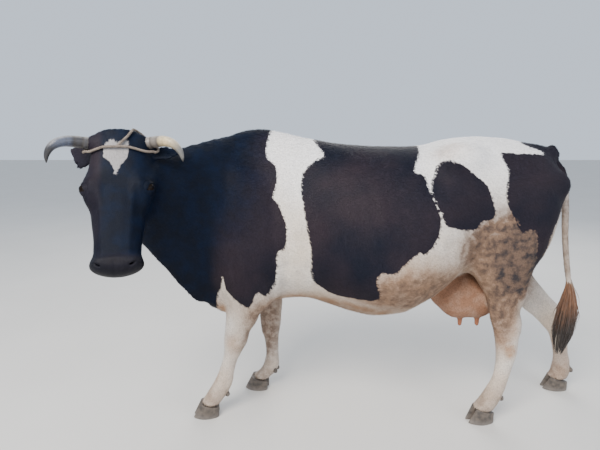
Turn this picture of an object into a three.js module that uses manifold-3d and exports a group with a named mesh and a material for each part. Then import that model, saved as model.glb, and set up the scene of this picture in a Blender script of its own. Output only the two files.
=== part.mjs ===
// A standing, horned, black-and-white milking cow, life size, in millimetres, +Z up.
// The cow faces -X with its head turned to its left (-Y) and wears a halter rope round its horns.
//
// The flesh is one smooth shape: lofted columns and turned ellipsoids, melted into one
// another. It is meshed part by part and parted by thin plane cuts into head, neck, trunk,
// udder, teats, tail, legs and ears. Horns, claws, eyes and rope are solids of their own.
import * as THREE from "three";
import { mergeVertices } from "three/addons/utils/BufferGeometryUtils.js";
import Module from "manifold-3d";

const wasm = await Module();
wasm.setup();

// ---------------------------------------------------------------- driving dimensions
const GAP = 0.3; // between neighbouring pieces
const SLIVER = 0.05; // thinner slivers left by the cuts are dropped
const FACE_TILT = THREE.MathUtils.degToRad(27); // of the face line from the vertical
const FACE_TURN = THREE.MathUtils.degToRad(12); // of the face from straight left
const POLL = [-697, -462, 1392]; // top of the head between the horns
const EYE = { at: [206, 112, -38], radius: 21 }; // in the head's own frame
// Ears: the root in the head's own frame, the way each points and the way its hollow faces
// in the level frame of the head (out, ahead, up). The left ear lies along the bent neck.
const EAR = { root: [52, 84, -74], length: 175, start: 8 };
const EAR_HOLLOW = { left: [0.3, 0.45, 0.75], right: [0.45, 0.8, 0.1] };
const EAR_WAY = { left: [0.9, -0.26, 0.1], right: [0.71, -0.7, 0.07] };
const NECK_BASE = [-150, 60, 1080];
const NECK_TOP = [-660, -390, 1215];
// Claws: reach of the sole ahead and behind, width, the gap between the two, the height of
// the coronet and its rise to the front, how far the wall leans back, how the toe narrows
// and turns in, how the wall draws in upwards, and how flat the wall between the claws is.
const CLAW = {
  toe: 78, heel: 50, width: 50, gap: 7, height: 64, rise: 0.28,
  lean: 0.5, taper: 0.42, turnIn: 7, draw: 0.08, flat: 0.78,
};
const DEWCLAW = { radius: 12, height: 17, spread: 21, behind: 95, at: 118 };
const ROPE_RADIUS = 5;

// ---------------------------------------------------------------- small vector helpers
const plus = (a, b) => a.map((v, i) => v + b[i]);
const minus = (a, b) => a.map((v, i) => v - b[i]);
const times = (a, k) => a.map((v) => v * k);
const dot = (a, b) => a[0] * b[0] + a[1] * b[1] + a[2] * b[2];
const cross = (a, b) => [
  a[1] * b[2] - a[2] * b[1],
  a[2] * b[0] - a[0] * b[2],
  a[0] * b[1] - a[1] * b[0],
];
const unit = (a) => times(a, 1 / Math.hypot(...a));
const [X, Y, Z] = [[1, 0, 0], [0, 1, 0], [0, 0, 1]];

// Rows: the axis, the side made square to it, and their cross product.
function frameOf(axis, side) {
  const a = unit(axis);
  const s = unit(minus(side, times(a, dot(a, side))));
  return [a, s, cross(a, s)];
}
const into = (rows, at, p) => {
  const d = minus(p, at);
  return [dot(rows[0], d), dot(rows[1], d), dot(rows[2], d)];
};
const outOf = (rows, at, q) =>
  plus(at, plus(plus(times(rows[0], q[0]), times(rows[1], q[1])), times(rows[2], q[2])));

// The head's frame: along the face to the nose, to the cow's left, out of the forehead.
const AHEAD = [Math.sin(FACE_TURN), -Math.cos(FACE_TURN), 0];
const HEAD = frameOf(
  plus(times(AHEAD, Math.sin(FACE_TILT)), times(Z, -Math.cos(FACE_TILT))),
  [Math.cos(FACE_TURN), Math.sin(FACE_TURN), 0],
);

// ---------------------------------------------------------------- forms of the flesh
// A cubic through the stations [t, v1, v2, ...] that never overshoots them.
function monotone(stations) {
  const t = stations.map((s) => s[0]);
  const v = stations.map((s) => s.slice(1));
  const last = t.length - 1;
  const step = t.slice(1).map((b, i) => b - t[i]);
  const rise = step.map((h, i) => v[i].map((a, j) => (v[i + 1][j] - a) / h));
  const slope = v.map((row, i) =>
    row.map((_, j) => {
      if (i === 0) return rise[0][j];
      if (i === last) return rise[last - 1][j];
      const [a, b] = [rise[i - 1][j], rise[i][j]];
      if (a * b <= 0) return 0;
      const wa = 2 * step[i] + step[i - 1];
      const wb = step[i] + 2 * step[i - 1];
      return (wa + wb) / (wa / a + wb / b);
    }),
  );
  return (at) => {
    const x = Math.min(Math.max(at, t[0]), t[last]);
    let i = 0;
    while (i < last - 1 && x >= t[i + 1]) i++;
    const h = step[i];
    const u = (x - t[i]) / h;
    const [w, r] = [1 - u, v[i].length];
    const out = new Array(r);
    for (let j = 0; j < r; j++)
      out[j] =
        v[i][j] * (1 + 2 * u) * w * w +
        slope[i][j] * h * u * w * w +
        v[i + 1][j] * u * u * (3 - 2 * u) +
        slope[i + 1][j] * h * u * u * (u - 1);
    return out;
  };
}

// A loft along a fixed axis with domed ends. A station is
// [t, centre s, centre u, half width, up, down, power above, power below].
function column(origin, axis, side, stations, domes, blend, cup = 0) {
  const rows = frameOf(axis, side);
  const at = monotone(stations);
  const [first, last] = [stations[0][0], stations[stations.length - 1][0]];
  const reach = Math.max(
    ...stations.map((s) => Math.abs(s[1]) + Math.abs(s[2]) + Math.max(s[3], s[4], s[5])),
  );
  const ends = [first - domes[0], last + domes[1]].map((t) => plus(origin, times(rows[0], t)));
  const distance = (p) => {
    const [t, s0, u0] = into(rows, origin, p);
    const [cs, cu, half, up, down, powerUp, powerDown] = at(t);
    const s = s0 - cs;
    const u = u0 - cu - cup * s * s;
    const [height, power] = u > 0 ? [up, powerUp] : [down, powerDown];
    const ring =
      ((Math.abs(s) / half + 1e-9) ** power + (Math.abs(u) / height + 1e-9) ** power) **
      (1 / power);
    const before = Math.max(first - t, 0);
    const after = Math.max(t - last, 0);
    const rho = Math.hypot(ring, before / domes[0], after / domes[1]) + 1e-9;
    return Math.hypot(s, u, before, after) * (1 - 1 / rho);
  };
  return {
    distance,
    blend,
    low: X.map((_, i) => Math.min(ends[0][i], ends[1][i]) - reach),
    high: X.map((_, i) => Math.max(ends[0][i], ends[1][i]) + reach),
  };
}

// A turned ellipsoid: rows are the directions of its three radii.
function ball(at, radii, blend, rows = [X, Y, Z]) {
  const reach = Math.max(...radii);
  const distance = (p) => {
    const q = into(rows, at, p).map((v, i) => v / radii[i]);
    const k0 = Math.hypot(...q) + 1e-12;
    const k1 = Math.hypot(q[0] / radii[0], q[1] / radii[1], q[2] / radii[2]) + 1e-12;
    return (k0 * (k0 - 1)) / k1;
  };
  return { distance, blend, low: at.map((v) => v - reach), high: at.map((v) => v + reach) };
}

const FAR = 400; // the value away from every form
const MARGIN = 30; // kept round a form's box

function melt(a, b, width) {
  const h = Math.max(width - Math.abs(a - b), 0) / width;
  return Math.min(a, b) - h * h * width * 0.25;
}

function evaluate(forms, p) {
  let out = FAR;
  for (const form of forms) {
    const pad = form.blend + MARGIN;
    if (p.every((v, i) => v > form.low[i] - pad && v < form.high[i] + pad))
      out = melt(out, form.distance(p), form.blend);
  }
  return out;
}

const both = (at) => [at, [at[0], -at[1], at[2]]];

// Head: poll, forehead, bridge of the nose, muzzle, chin, jaw, cheeks, brows and horn
// bases. Only the left half is stated, because a point is folded onto it.
function head() {
  const skull = [
    [-15, 0, -62, 84, 58, 70, 2.4, 2],
    [30, 0, -62, 96, 62, 95, 2.4, 2],
    [110, 0, -64, 106, 62, 120, 2.4, 2],
    [180, 0, -66, 112, 62, 134, 2.4, 2],
    [250, 0, -72, 101, 66, 122, 2.3, 2],
    [320, 0, -74, 94, 64, 104, 2.3, 2],
    [390, 0, -72, 89, 60, 84, 2.4, 2],
    [450, 0, -68, 85, 56, 66, 2.4, 2],
    [500, 0, -62, 82, 50, 50, 2.3, 2],
  ];
  const jaw = [
    [110, 0, -170, 64, 50, 62, 2, 2],
    [200, 0, -165, 70, 50, 60, 2, 2],
    [300, 0, -140, 60, 45, 50, 2, 2],
    [400, 0, -116, 46, 36, 38, 2, 2],
    [470, 0, -106, 36, 30, 28, 2, 2],
  ];
  const forms = [
    column([0, 0, 0], X, Y, skull, [25, 30], 30),
    ball([20, 0, -105], [55, 82, 62], 40), // nape
    ball([492, 0, -58], [44, 92, 52], 25), // muzzle
    ball([470, 0, -106], [52, 60, 34], 30), // chin
    column([0, 0, 0], X, Y, jaw, [60, 20], 35),
    ball([185, 68, -125], [100, 46, 92], 40), // cheek
    ball([204, 90, -50], [60, 35, 38], 36), // brow and eye socket
    ball([16, 85, -46], [32, 34, 30], 25), // horn base
  ];
  const reach = 680;
  return {
    distance: (p) => {
      const q = into(HEAD, POLL, p);
      return evaluate(forms, [q[0], Math.abs(q[1]), q[2]]);
    },
    blend: 60,
    low: POLL.map((v) => v - reach),
    high: POLL.map((v) => v + reach),
  };
}

// A direction of the head's level frame (out to the side, ahead, up), in the cow's frame.
const SIDES = { left: -1, right: 1 };
const headSide = (word) => -SIDES[word]; // the head's own second axis points to its left
const levelWay = (word, [out, ahead, up]) =>
  plus(plus(times(HEAD[1], headSide(word) * out), times(AHEAD, ahead)), times(Z, up));
const onHead = (word, [u, s, v]) => outOf(HEAD, POLL, [u, headSide(word) * s, v]);

// An ear: a thin leaf, hollow in front, straight above and full below. From its root:
// [t, shift of the middle towards the lower edge, half width, half thickness].
const earRows = (word) => {
  const along = unit(levelWay(word, EAR_WAY[word]));
  return frameOf(along, cross(levelWay(word, EAR_HOLLOW[word]), along));
};
const EAR_BOW = 0.0085; // how fast the leaf curls forward away from its middle line
const EAR_STATIONS = [
  [0, 0, 20, 16],
  [25, 6, 27, 11],
  [55, 17, 39, 7],
  [85, 20, 42, 6],
  [120, 12, 33, 5.5],
  [150, 2, 20, 5],
  [EAR.length, -6, 7, 4.5],
];
const EAR_TIP = 3; // beyond the last station

// Neck with the dewlap under it, from the shoulders to the head; s is towards the inside
// of the bend.
const NECK_WAY = unit(minus(NECK_TOP, NECK_BASE));
const NECK_SIDE = [-NECK_WAY[1], NECK_WAY[0], 0];
function neck() {
  const stations = [
    [0, 0, 0, 195, 310, 390, 1.9, 1.8],
    [150, -25, 0, 170, 296, 548, 1.8, 1.45],
    [300, -35, 0, 142, 250, 532, 1.8, 1.35],
    [450, -30, 0, 122, 186, 418, 1.9, 1.35],
    [570, -18, 0, 110, 138, 312, 2.0, 1.5],
    [700, 0, 0, 98, 125, 205, 2.0, 1.9],
  ];
  return column(NECK_BASE, NECK_WAY, NECK_SIDE, stations, [120, 60], 90);
}

// Trunk, [x, y, widest level, half width, up, down, powers], from brisket to pin bones.
function trunk() {
  const stations = [
    [-440, 0, 800, 140, 270, 272, 2, 1.9],
    [-370, 0, 840, 200, 430, 338, 2, 1.8],
    [-280, 0, 870, 225, 505, 352, 1.8, 1.8],
    [-180, 0, 890, 245, 522, 330, 1.6, 1.9],
    [-80, 0, 900, 250, 502, 318, 1.7, 1.9],
    [40, 0, 890, 268, 490, 300, 1.9, 2.0],
    [150, 0, 860, 305, 501, 300, 2.0, 2.0],
    [260, 0, 830, 340, 520, 302, 2.0, 2.0],
    [370, 0, 812, 360, 532, 300, 2.0, 2.0],
    [480, 0, 820, 360, 523, 295, 2.0, 2.0],
    [580, 0, 860, 338, 488, 285, 2.1, 2.1],
    [680, 0, 930, 300, 442, 285, 2.4, 2.2],
    [760, 0, 1000, 272, 384, 290, 2.5, 2.2],
    [870, 0, 1050, 252, 338, 310, 2.4, 2.2],
    [980, 0, 1065, 238, 314, 320, 2.2, 2.2],
    [1080, 0, 1075, 212, 280, 320, 2.2, 2.2],
    [1150, 0, 1080, 180, 245, 290, 2.2, 2.2],
    [1190, 0, 1080, 140, 215, 240, 2.2, 2.2],
  ];
  return column([0, 0, 0], X, Y, stations, [60, 45], 40);
}

// A limb or the tail: [height, x, y, half length, half width to +Y, half width to -Y].
function limb(stations, blend) {
  const rounded = 2.1;
  const rows = stations.map(([z, x, y, half, right, left]) => [
    z, x, y, half, right, left, rounded, rounded,
  ]);
  return column([0, 0, 0], Z, X, rows.reverse(), [15, 60], blend);
}

const FORE_LEFT = [
  [880, -265, -160, 140, 80, 80],
  [780, -262, -158, 150, 85, 85],
  [700, -250, -152, 138, 75, 80],
  [640, -236, -148, 118, 65, 70],
  [590, -250, -142, 98, 58, 60],
  [556, -271, -138, 86, 52, 55],
  [504, -286, -136, 76, 46, 50],
  [453, -305, -136, 63, 44, 47],
  [401, -315, -135, 59, 47, 49], // knee
  [353, -328, -133, 46, 38, 38],
  [289, -350, -130, 38, 31, 31],
  [236, -366, -128, 40, 32, 32],
  [182, -383, -125, 48, 40, 40], // fetlock
  [127, -412, -122, 52, 43, 43],
  [75, -446, -122, 50, 46, 46],
];
const FORE_RIGHT = [
  [880, -262, 160, 140, 80, 80],
  [780, -250, 158, 150, 85, 85],
  [700, -235, 152, 138, 80, 75],
  [640, -212, 148, 115, 70, 65],
  [590, -195, 144, 100, 60, 58],
  [556, -182, 141, 86, 55, 52],
  [504, -166, 138, 72, 50, 46],
  [454, -160, 136, 62, 47, 44],
  [397, -160, 135, 58, 48, 46], // knee
  [339, -161, 134, 50, 40, 40],
  [300, -157, 133, 41, 34, 34],
  [217, -153, 132, 36, 31, 31],
  [156, -157, 133, 43, 39, 39], // fetlock
  [107, -178, 136, 47, 42, 42],
  [75, -212, 138, 50, 45, 45],
];
const HIND_LEFT = [
  [1180, 1010, -115, 150, 95, 100],
  [1080, 1015, -130, 175, 105, 110],
  [950, 995, -142, 172, 105, 108],
  [860, 975, -148, 162, 95, 100],
  [780, 952, -150, 146, 80, 90],
  [700, 961, -152, 116, 64, 74],
  [643, 978, -154, 97, 52, 60],
  [586, 976, -156, 80, 44, 49],
  [528, 979, -157, 68, 39, 42],
  [469, 990, -158, 60, 39, 42], // hock
  [410, 999, -159, 56, 41, 43],
  [351, 1002, -160, 51, 39, 40],
  [290, 995, -161, 43, 33, 34],
  [229, 983, -163, 40, 31, 32],
  [168, 961, -165, 45, 38, 38], // fetlock
  [106, 930, -168, 50, 44, 44],
  [75, 908, -169, 51, 47, 47],
];
const HIND_RIGHT = [
  [1180, 1010, 115, 150, 100, 95],
  [1080, 1018, 130, 175, 110, 105],
  [950, 1015, 142, 175, 108, 105],
  [860, 1030, 148, 168, 100, 95],
  [780, 1060, 150, 152, 90, 80],
  [700, 1105, 150, 128, 76, 64],
  [643, 1150, 149, 115, 62, 52],
  [586, 1205, 147, 108, 50, 45],
  [528, 1262, 146, 104, 44, 40],
  [469, 1322, 145, 104, 42, 40],
  [420, 1372, 144, 92, 43, 41], // hock
  [370, 1405, 143, 74, 42, 40],
  [320, 1428, 143, 54, 38, 36],
  [270, 1438, 142, 45, 34, 34],
  [215, 1447, 140, 41, 32, 32],
  [160, 1456, 138, 45, 38, 38], // fetlock
  [106, 1455, 136, 50, 45, 45],
  [75, 1442, 134, 51, 47, 47],
];
const TAIL = [
  [1285, 1212, 0, 24, 24, 24],
  [1230, 1262, 0, 24, 23, 23],
  [1150, 1290, 0, 20, 20, 20],
  [1050, 1306, 0, 18, 18, 18],
  [905, 1321, 0, 16, 16, 16],
  [760, 1345, 0, 15, 15, 15],
  [655, 1367, 0, 14, 14, 14],
];
const SWITCH = [
  [700, 1357, 0, 17, 17, 17],
  [650, 1368, 0, 30, 24, 24],
  [595, 1374, 0, 50, 36, 36],
  [511, 1374, 0, 68, 44, 44],
  [420, 1367, 0, 64, 42, 42],
  [330, 1358, 0, 42, 30, 30],
  [275, 1352, 0, 20, 16, 16],
];

// Udder: a bag between the thighs, four quarters and a teat under each.
const QUARTERS = [
  { name: "front", x: 788, y: 60, teat: 804 },
  { name: "rear", x: 884, y: 54, teat: 890 },
];
const TEAT = { top: 512, tip: 452, radius: 13, y: 56 };
function udder() {
  const forms = [ball([822, 0, 612], [165, 118, 112], 50)];
  for (const q of QUARTERS)
    for (const at of both([q.x, q.y, 572])) forms.push(ball(at, [84, 60, 76], 36));
  for (const q of QUARTERS)
    for (const [x, y] of both([q.teat, TEAT.y, 0])) {
      const r = TEAT.radius;
      forms.push(
        limb([[TEAT.top + 40, x, y, r + 8, r + 8, r + 8], [TEAT.top - 8, x, y, r, r, r],
          [TEAT.tip + 12, x, y, r - 2, r - 2, r - 2]], 16),
      );
    }
  return forms;
}

function fleshForms() {
  const slant = THREE.MathUtils.degToRad(14); // of the shoulder blade
  const blade = [[Math.cos(slant), 0, Math.sin(slant)], Y, [-Math.sin(slant), 0, Math.cos(slant)]];
  return [
    trunk(),
    neck(),
    ...both([-270, 158, 960]).map((at) => ball(at, [150, 88, 290], 80, blade)),
    limb(FORE_LEFT, 50),
    limb(FORE_RIGHT, 50),
    limb(HIND_LEFT, 70),
    limb(HIND_RIGHT, 70),
    ...both([712, 192, 1288]).map((at) => ball(at, [85, 62, 62], 90)), // hook bones
    ball([-400, 50, 830], [105, 140, 235], 90), // brisket
    ...both([1180, 120, 1165]).map((at) => ball(at, [65, 50, 60], 60)), // pin bones
    ball([1150, 0, 1300], [95, 48, 42], 60), // tail head
    ball([1040, -158, 492], [24, 17, 44], 40), // points of the hocks
    ball([1452, 144, 425], [26, 17, 40], 45),
    ...udder(),
    limb(TAIL, 35),
    head(),
  ];
}
const FLESH = fleshForms();
const flesh = (p) => evaluate(FLESH, p); // all of it but the ears

// ---------------------------------------------------------------- meshing
function gradient(distance, p) {
  const e = 0.5;
  return [X, Y, Z].map(
    (d) => (distance(plus(p, times(d, e))) - distance(minus(p, times(d, e)))) / (2 * e),
  );
}

// Moves a point along the gradient onto the surface at the given level.
function settle(distance, point, level = 0, rounds = 4) {
  let p = point;
  for (let i = 0; i < rounds; i++) {
    const g = gradient(distance, p);
    const step = (distance(p) - level) / Math.max(dot(g, g), 0.05);
    const length = Math.abs(step) * Math.hypot(...g);
    const longest = 8;
    p = minus(p, times(g, step * Math.min(1, longest / Math.max(length, 1e-9))));
  }
  return p;
}

const CELL_CORNERS = [0, 1, 2, 3, 4, 5, 6, 7].map((c) => [c & 1, (c >> 1) & 1, c >> 2]);
const CELL_EDGES = CELL_CORNERS.flatMap((_, a) =>
  [0, 1, 2].filter((d) => !(a & (1 << d))).map((d) => [a, a + (1 << d)]),
);
const CELL_SIDES = [0, 1, 2].flatMap((d) =>
  [0, 1].map((side) =>
    CELL_EDGES.map((_, e) => e).filter((e) =>
      CELL_EDGES[e].every((c) => CELL_CORNERS[c][d] === side),
    ),
  ),
);

// The crossed edges of a cell with these corner values, one list to a sheet of the surface.
function sheetsOf(at) {
  const crossed = CELL_EDGES.map(([a, b]) => at[a] < 0 !== at[b] < 0);
  const label = CELL_EDGES.map((_, e) => e);
  const join = (a, b) => {
    const [from, to] = [label[a], label[b]];
    label.forEach((l, e) => {
      if (l === from) label[e] = to;
    });
  };
  for (const side of CELL_SIDES) {
    const here = side.filter((e) => crossed[e]);
    if (here.length === 2) join(...here);
    if (here.length === 4)
      for (const a of here)
        for (const b of here)
          if (a < b && CELL_EDGES[a].some((c) => at[c] < 0 && CELL_EDGES[b].includes(c))) join(a, b);
  }
  const sheets = new Map();
  crossed.forEach((yes, e) => {
    if (yes) sheets.set(label[e], [...(sheets.get(label[e]) ?? []), e]);
  });
  return [...sheets.values()];
}

// The surface inside the box low..high as a closed mesh, a vertex to a sheet in each cell.
function surface(distance, low, high, cell) {
  const n = low.map((v, i) => Math.ceil((high[i] - v) / cell) + 1);
  const index = (i, j, k) => (i * n[1] + j) * n[2] + k;
  const value = new Float64Array(n[0] * n[1] * n[2]).fill(cell);
  for (let i = 1; i < n[0] - 1; i++)
    for (let j = 1; j < n[1] - 1; j++)
      for (let k = 1; k < n[2] - 1; k++)
        value[index(i, j, k)] = distance([
          low[0] + i * cell, low[1] + j * cell, low[2] + k * cell,
        ]);
  const vertexOf = new Map();
  const points = [];
  for (let i = 0; i < n[0] - 1; i++)
    for (let j = 0; j < n[1] - 1; j++)
      for (let k = 0; k < n[2] - 1; k++) {
        const at = CELL_CORNERS.map((c) => value[index(i + c[0], j + c[1], k + c[2])]);
        if (at.every((v) => v < 0) || at.every((v) => v >= 0)) continue;
        for (const sheet of sheetsOf(at)) {
          const sum = [0, 0, 0];
          for (const e of sheet) {
            const [a, b] = CELL_EDGES[e];
            const t = at[a] / (at[a] - at[b]);
            for (let d = 0; d < 3; d++)
              sum[d] += CELL_CORNERS[a][d] + (CELL_CORNERS[b][d] - CELL_CORNERS[a][d]) * t;
            vertexOf.set(index(i, j, k) * 12 + e, points.length);
          }
          points.push([i, j, k].map((c, d) => low[d] + (c + sum[d] / sheet.length) * cell));
        }
      }
  const faces = [];
  for (let i = 0; i < n[0] - 1; i++)
    for (let j = 0; j < n[1] - 1; j++)
      for (let k = 0; k < n[2] - 1; k++)
        for (let axis = 0; axis < 3; axis++) {
          const at = [i, j, k];
          const [u, v] = [[1, 2], [2, 0], [0, 1]][axis];
          if (at[u] === 0 || at[v] === 0) continue;
          const next = at.map((c, d) => c + (d === axis ? 1 : 0));
          const inside = value[index(...at)] < 0;
          if (inside === value[index(...next)] < 0) continue;
          const shift = (du, dv) => {
            const home = at.map((c, d) => c - (d === u ? du : 0) - (d === v ? dv : 0));
            const start = (du << u) + (dv << v);
            const e = CELL_EDGES.findIndex(([a, b]) => a === start && b === start + (1 << axis));
            return vertexOf.get(index(...home) * 12 + e);
          };
          const quad = [shift(1, 1), shift(0, 1), shift(0, 0), shift(1, 0)];
          if (!inside) quad.reverse();
          faces.push([quad[0], quad[1], quad[2]], [quad[0], quad[2], quad[3]]);
        }
  return { points, faces };
}

// Quadric error of a plane through p with normal n, weighted by area: ten numbers.
function planeQuadric(n, p, area) {
  const d = -dot(n, p);
  return [
    n[0] * n[0], n[0] * n[1], n[0] * n[2], n[0] * d, n[1] * n[1],
    n[1] * n[2], n[1] * d, n[2] * n[2], n[2] * d, d * d,
  ].map((v) => v * area);
}
const quadricError = (q, [x, y, z]) =>
  q[0] * x * x + 2 * q[1] * x * y + 2 * q[2] * x * z + 2 * q[3] * x + q[4] * y * y +
  2 * q[5] * y * z + 2 * q[6] * y + q[7] * z * z + 2 * q[8] * z + q[9];

const faceNormal = (a, b, c) => cross(minus(b, a), minus(c, a));

// Collapses the cheapest edges, a round at a time, until the budget of triangles is met.
function simplify({ points, faces }, budget) {
  const place = points.map((p) => [...p]);
  let live = faces.map((f) => [...f]);
  const quadric = place.map(() => new Array(10).fill(0));
  for (const [a, b, c] of live) {
    const n = faceNormal(place[a], place[b], place[c]);
    const size = Math.hypot(...n);
    if (size < 1e-9) continue;
    const q = planeQuadric(times(n, 1 / size), place[a], size / 2);
    for (const v of [a, b, c]) quadric[v] = plus(quadric[v], q);
  }
  const longSideCost = 0.002; // keeps triangles even where the form is flat
  while (live.length > budget) {
    const around = place.map(() => []);
    live.forEach((f, i) => f.forEach((v) => around[v].push(i)));
    const candidates = [];
    for (const f of live)
      for (let e = 0; e < 3; e++) {
        const [a, b] = [f[e], f[(e + 1) % 3]];
        if (a > b) continue;
        const q = plus(quadric[a], quadric[b]);
        const middle = times(plus(place[a], place[b]), 0.5);
        const options = [middle, place[a], place[b]];
        const costs = options.map((p) => quadricError(q, p));
        const best = costs.indexOf(Math.min(...costs));
        const length = Math.hypot(...minus(place[a], place[b]));
        candidates.push({ a, b, to: options[best], cost: costs[best] + longSideCost * length ** 4 });
      }
    candidates.sort((x, y) => x.cost - y.cost);
    candidates.length = Math.ceil(candidates.length * 0.4);
    const touched = new Uint8Array(place.length);
    const gone = new Set();
    const renamed = new Map();
    const before = live.length;
    for (const { a, b, to } of candidates) {
      if (before - gone.size <= budget) break;
      const ringA = new Set(around[a].flatMap((i) => live[i]));
      const ringB = new Set(around[b].flatMap((i) => live[i]));
      const shared = [...ringA].filter((v) => ringB.has(v) && v !== a && v !== b);
      if (shared.length !== 2 || shared.some((v) => around[v].length < 5)) continue;
      if ([...ringA, ...ringB].some((v) => touched[v])) continue;
      const flips = [...around[a], ...around[b]].some((i) => {
        const f = live[i];
        if (f.includes(a) && f.includes(b)) return false;
        const old = faceNormal(...f.map((v) => place[v]));
        const now = faceNormal(...f.map((v) => (v === a || v === b ? to : place[v])));
        return dot(old, now) < 0.35 * Math.hypot(...old) * Math.hypot(...now);
      });
      if (flips) continue;
      for (const i of around[b]) if (live[i].includes(a)) gone.add(i);
      renamed.set(b, a);
      place[a] = to;
      quadric[a] = plus(quadric[a], quadric[b]);
      for (const v of [...ringA, ...ringB]) touched[v] = 1;
    }
    if (!gone.size) break;
    live = live
      .filter((_, i) => !gone.has(i))
      .map((f) => f.map((v) => (renamed.has(v) ? renamed.get(v) : v)));
  }
  return { points: place, faces: live };
}

// ---------------------------------------------------------------- solids
// manifold-3d takes 32-bit numbers, and wants every vertex once.
function solidOf(geometry) {
  const bare = geometry.index ? geometry.toNonIndexed() : geometry.clone();
  bare.deleteAttribute("normal");
  bare.deleteAttribute("uv");
  const merged = mergeVertices(bare, 1e-3);
  const triVerts = new Uint32Array(merged.index.array);
  const whole = [];
  for (let i = 0; i < triVerts.length; i += 3) {
    const [a, b, c] = triVerts.subarray(i, i + 3);
    if (a !== b && b !== c && c !== a) whole.push(a, b, c);
  }
  const make = (corners) =>
    new wasm.Manifold(
      new wasm.Mesh({
        numProp: 3,
        vertProperties: merged.attributes.position.array,
        triVerts: new Uint32Array(corners),
      }),
    );
  const solid = make(whole);
  if (solid.volume() > 0) return solid;
  for (let i = 0; i < whole.length; i += 3) [whole[i + 1], whole[i + 2]] = [whole[i + 2], whole[i + 1]];
  return make(whole);
}

function geometryOf(solid) {
  const mesh = solid.getMesh();
  const geometry = new THREE.BufferGeometry();
  geometry.setAttribute("position", new THREE.BufferAttribute(mesh.vertProperties, mesh.numProp));
  geometry.setIndex(new THREE.BufferAttribute(mesh.triVerts, 1));
  geometry.computeVertexNormals();
  return geometry;
}

function solidOfMesh({ points, faces }) {
  const geometry = new THREE.BufferGeometry();
  geometry.setAttribute("position", new THREE.Float32BufferAttribute(points.flat(), 3));
  geometry.setIndex(faces.flat());
  return solidOf(geometry);
}

// Flesh inside a box, as a solid of about so many triangles.
function fleshIn(low, high, cell, budget, distance = flesh) {
  const coarse = simplify(surface(distance, low, high, cell), budget);
  const edge = cell * 1.5;
  coarse.points = coarse.points.map((p) =>
    p.every((v, i) => v > low[i] + edge && v < high[i] - edge) ? settle(distance, p, 0, 2) : p,
  );
  return solidOfMesh(coarse);
}

// Half of space behind a plane, as a big block with one face on it.
function slab(point, normal, grow = 0) {
  const size = 4000;
  const block = new THREE.BoxGeometry(size, size, size);
  const n = new THREE.Vector3(...normal).normalize();
  block.applyQuaternion(new THREE.Quaternion().setFromUnitVectors(new THREE.Vector3(0, 0, 1), n));
  const centre = new THREE.Vector3(...point).addScaledVector(n, grow - size / 2);
  block.translate(centre.x, centre.y, centre.z);
  return solidOf(block);
}
const region = (planes, grow = 0) =>
  planes.map(([point, normal]) => slab(point, normal, grow)).reduce((a, b) => a.intersect(b));

// The largest piece, should a cut leave crumbs.
const largest = (solid) =>
  solid.decompose().reduce((a, b) => (b.volume() > a.volume() ? b : a));

// A closed geometry with each vertex moved by a function of the old one.
function reshaped(geometry, move) {
  const position = geometry.attributes.position;
  for (let i = 0; i < position.count; i++) {
    const p = move([position.getX(i), position.getY(i), position.getZ(i)]);
    position.setXYZ(i, ...p);
  }
  return geometry;
}

// A tube along a curve whose radius follows the stations [fraction, radius].
function taperedTube(curve, stations, sides, rings, grow = 0) {
  const radiusAt = monotone(stations);
  const frames = curve.computeFrenetFrames(rings, false);
  const drum = new THREE.CylinderGeometry(1, 1, 1, sides, rings);
  return reshaped(drum, ([x, y, z]) => {
    const t = y + 0.5;
    const ring = Math.round(t * rings);
    const radius = radiusAt(t)[0] + grow;
    const at = curve.getPointAt(t);
    at.addScaledVector(frames.normals[ring], x * radius);
    at.addScaledVector(frames.binormals[ring], z * radius);
    if (grow && ring === rings) at.addScaledVector(frames.tangents[ring], grow);
    if (grow && ring === 0) at.addScaledVector(frames.tangents[ring], -grow);
    return at.toArray();
  });
}

// A tube of one thickness along a closed curve.
function closedTube(curve, radius, sides, rings) {
  const frames = curve.computeFrenetFrames(rings, true);
  const tube = 0.2;
  return reshaped(new THREE.TorusGeometry(1, tube, sides, rings), ([x, y, z]) => {
    const turn = (Math.atan2(y, x) / (2 * Math.PI) + 1) % 1;
    const ring = Math.round(turn * rings) % rings;
    const at = curve.getPointAt(ring / rings);
    at.addScaledVector(frames.normals[ring], ((Math.hypot(x, y) - 1) / tube) * radius);
    at.addScaledVector(frames.binormals[ring], (z / tube) * radius);
    return at.toArray();
  });
}

// ---------------------------------------------------------------- horns, claws, eyes, rope
// In the level frame of the head: out to the side, ahead, up from the poll.
const HORN_PATH = [
  [72, -36, -40], [118, -30, -33], [146, -15, -28], [175, 8, -26],
  [202, 28, -33], [224, 36, -50], [238, 35, -76], [243, 30, -104],
];
const HORN_RADII = [[0, 25], [0.2, 24], [0.45, 21.5], [0.65, 18], [0.82, 12.5], [0.94, 7], [1, 2]];
const hornCurve = (word) =>
  new THREE.CatmullRomCurve3(
    HORN_PATH.map((p) => new THREE.Vector3(...plus(POLL, levelWay(word, p)))),
  );
const horn = (word, grow = 0) =>
  solidOf(taperedTube(hornCurve(word), HORN_RADII, 10, 10, grow));

function eye(word, grow = 0) {
  const globe = new THREE.SphereGeometry(EYE.radius + grow, 10, 6);
  globe.translate(...onHead(word, EYE.at));
  return solidOf(globe);
}

// A foot: where its claws stand, and which way they point.
const FEET = [
  { leg: "front_left", at: [-460, -122], turn: -8 },
  { leg: "front_right", at: [-228, 140], turn: 8 },
  { leg: "hind_left", at: [902, -169], turn: -8 },
  { leg: "hind_right", at: [1437, 134], turn: 5 },
];
const toeWay = (foot) => {
  const a = THREE.MathUtils.degToRad(180 - foot.turn);
  return [Math.cos(a), Math.sin(a), 0];
};
const footFrame = (foot) => [toeWay(foot), cross(Z, toeWay(foot)), Z];

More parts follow.
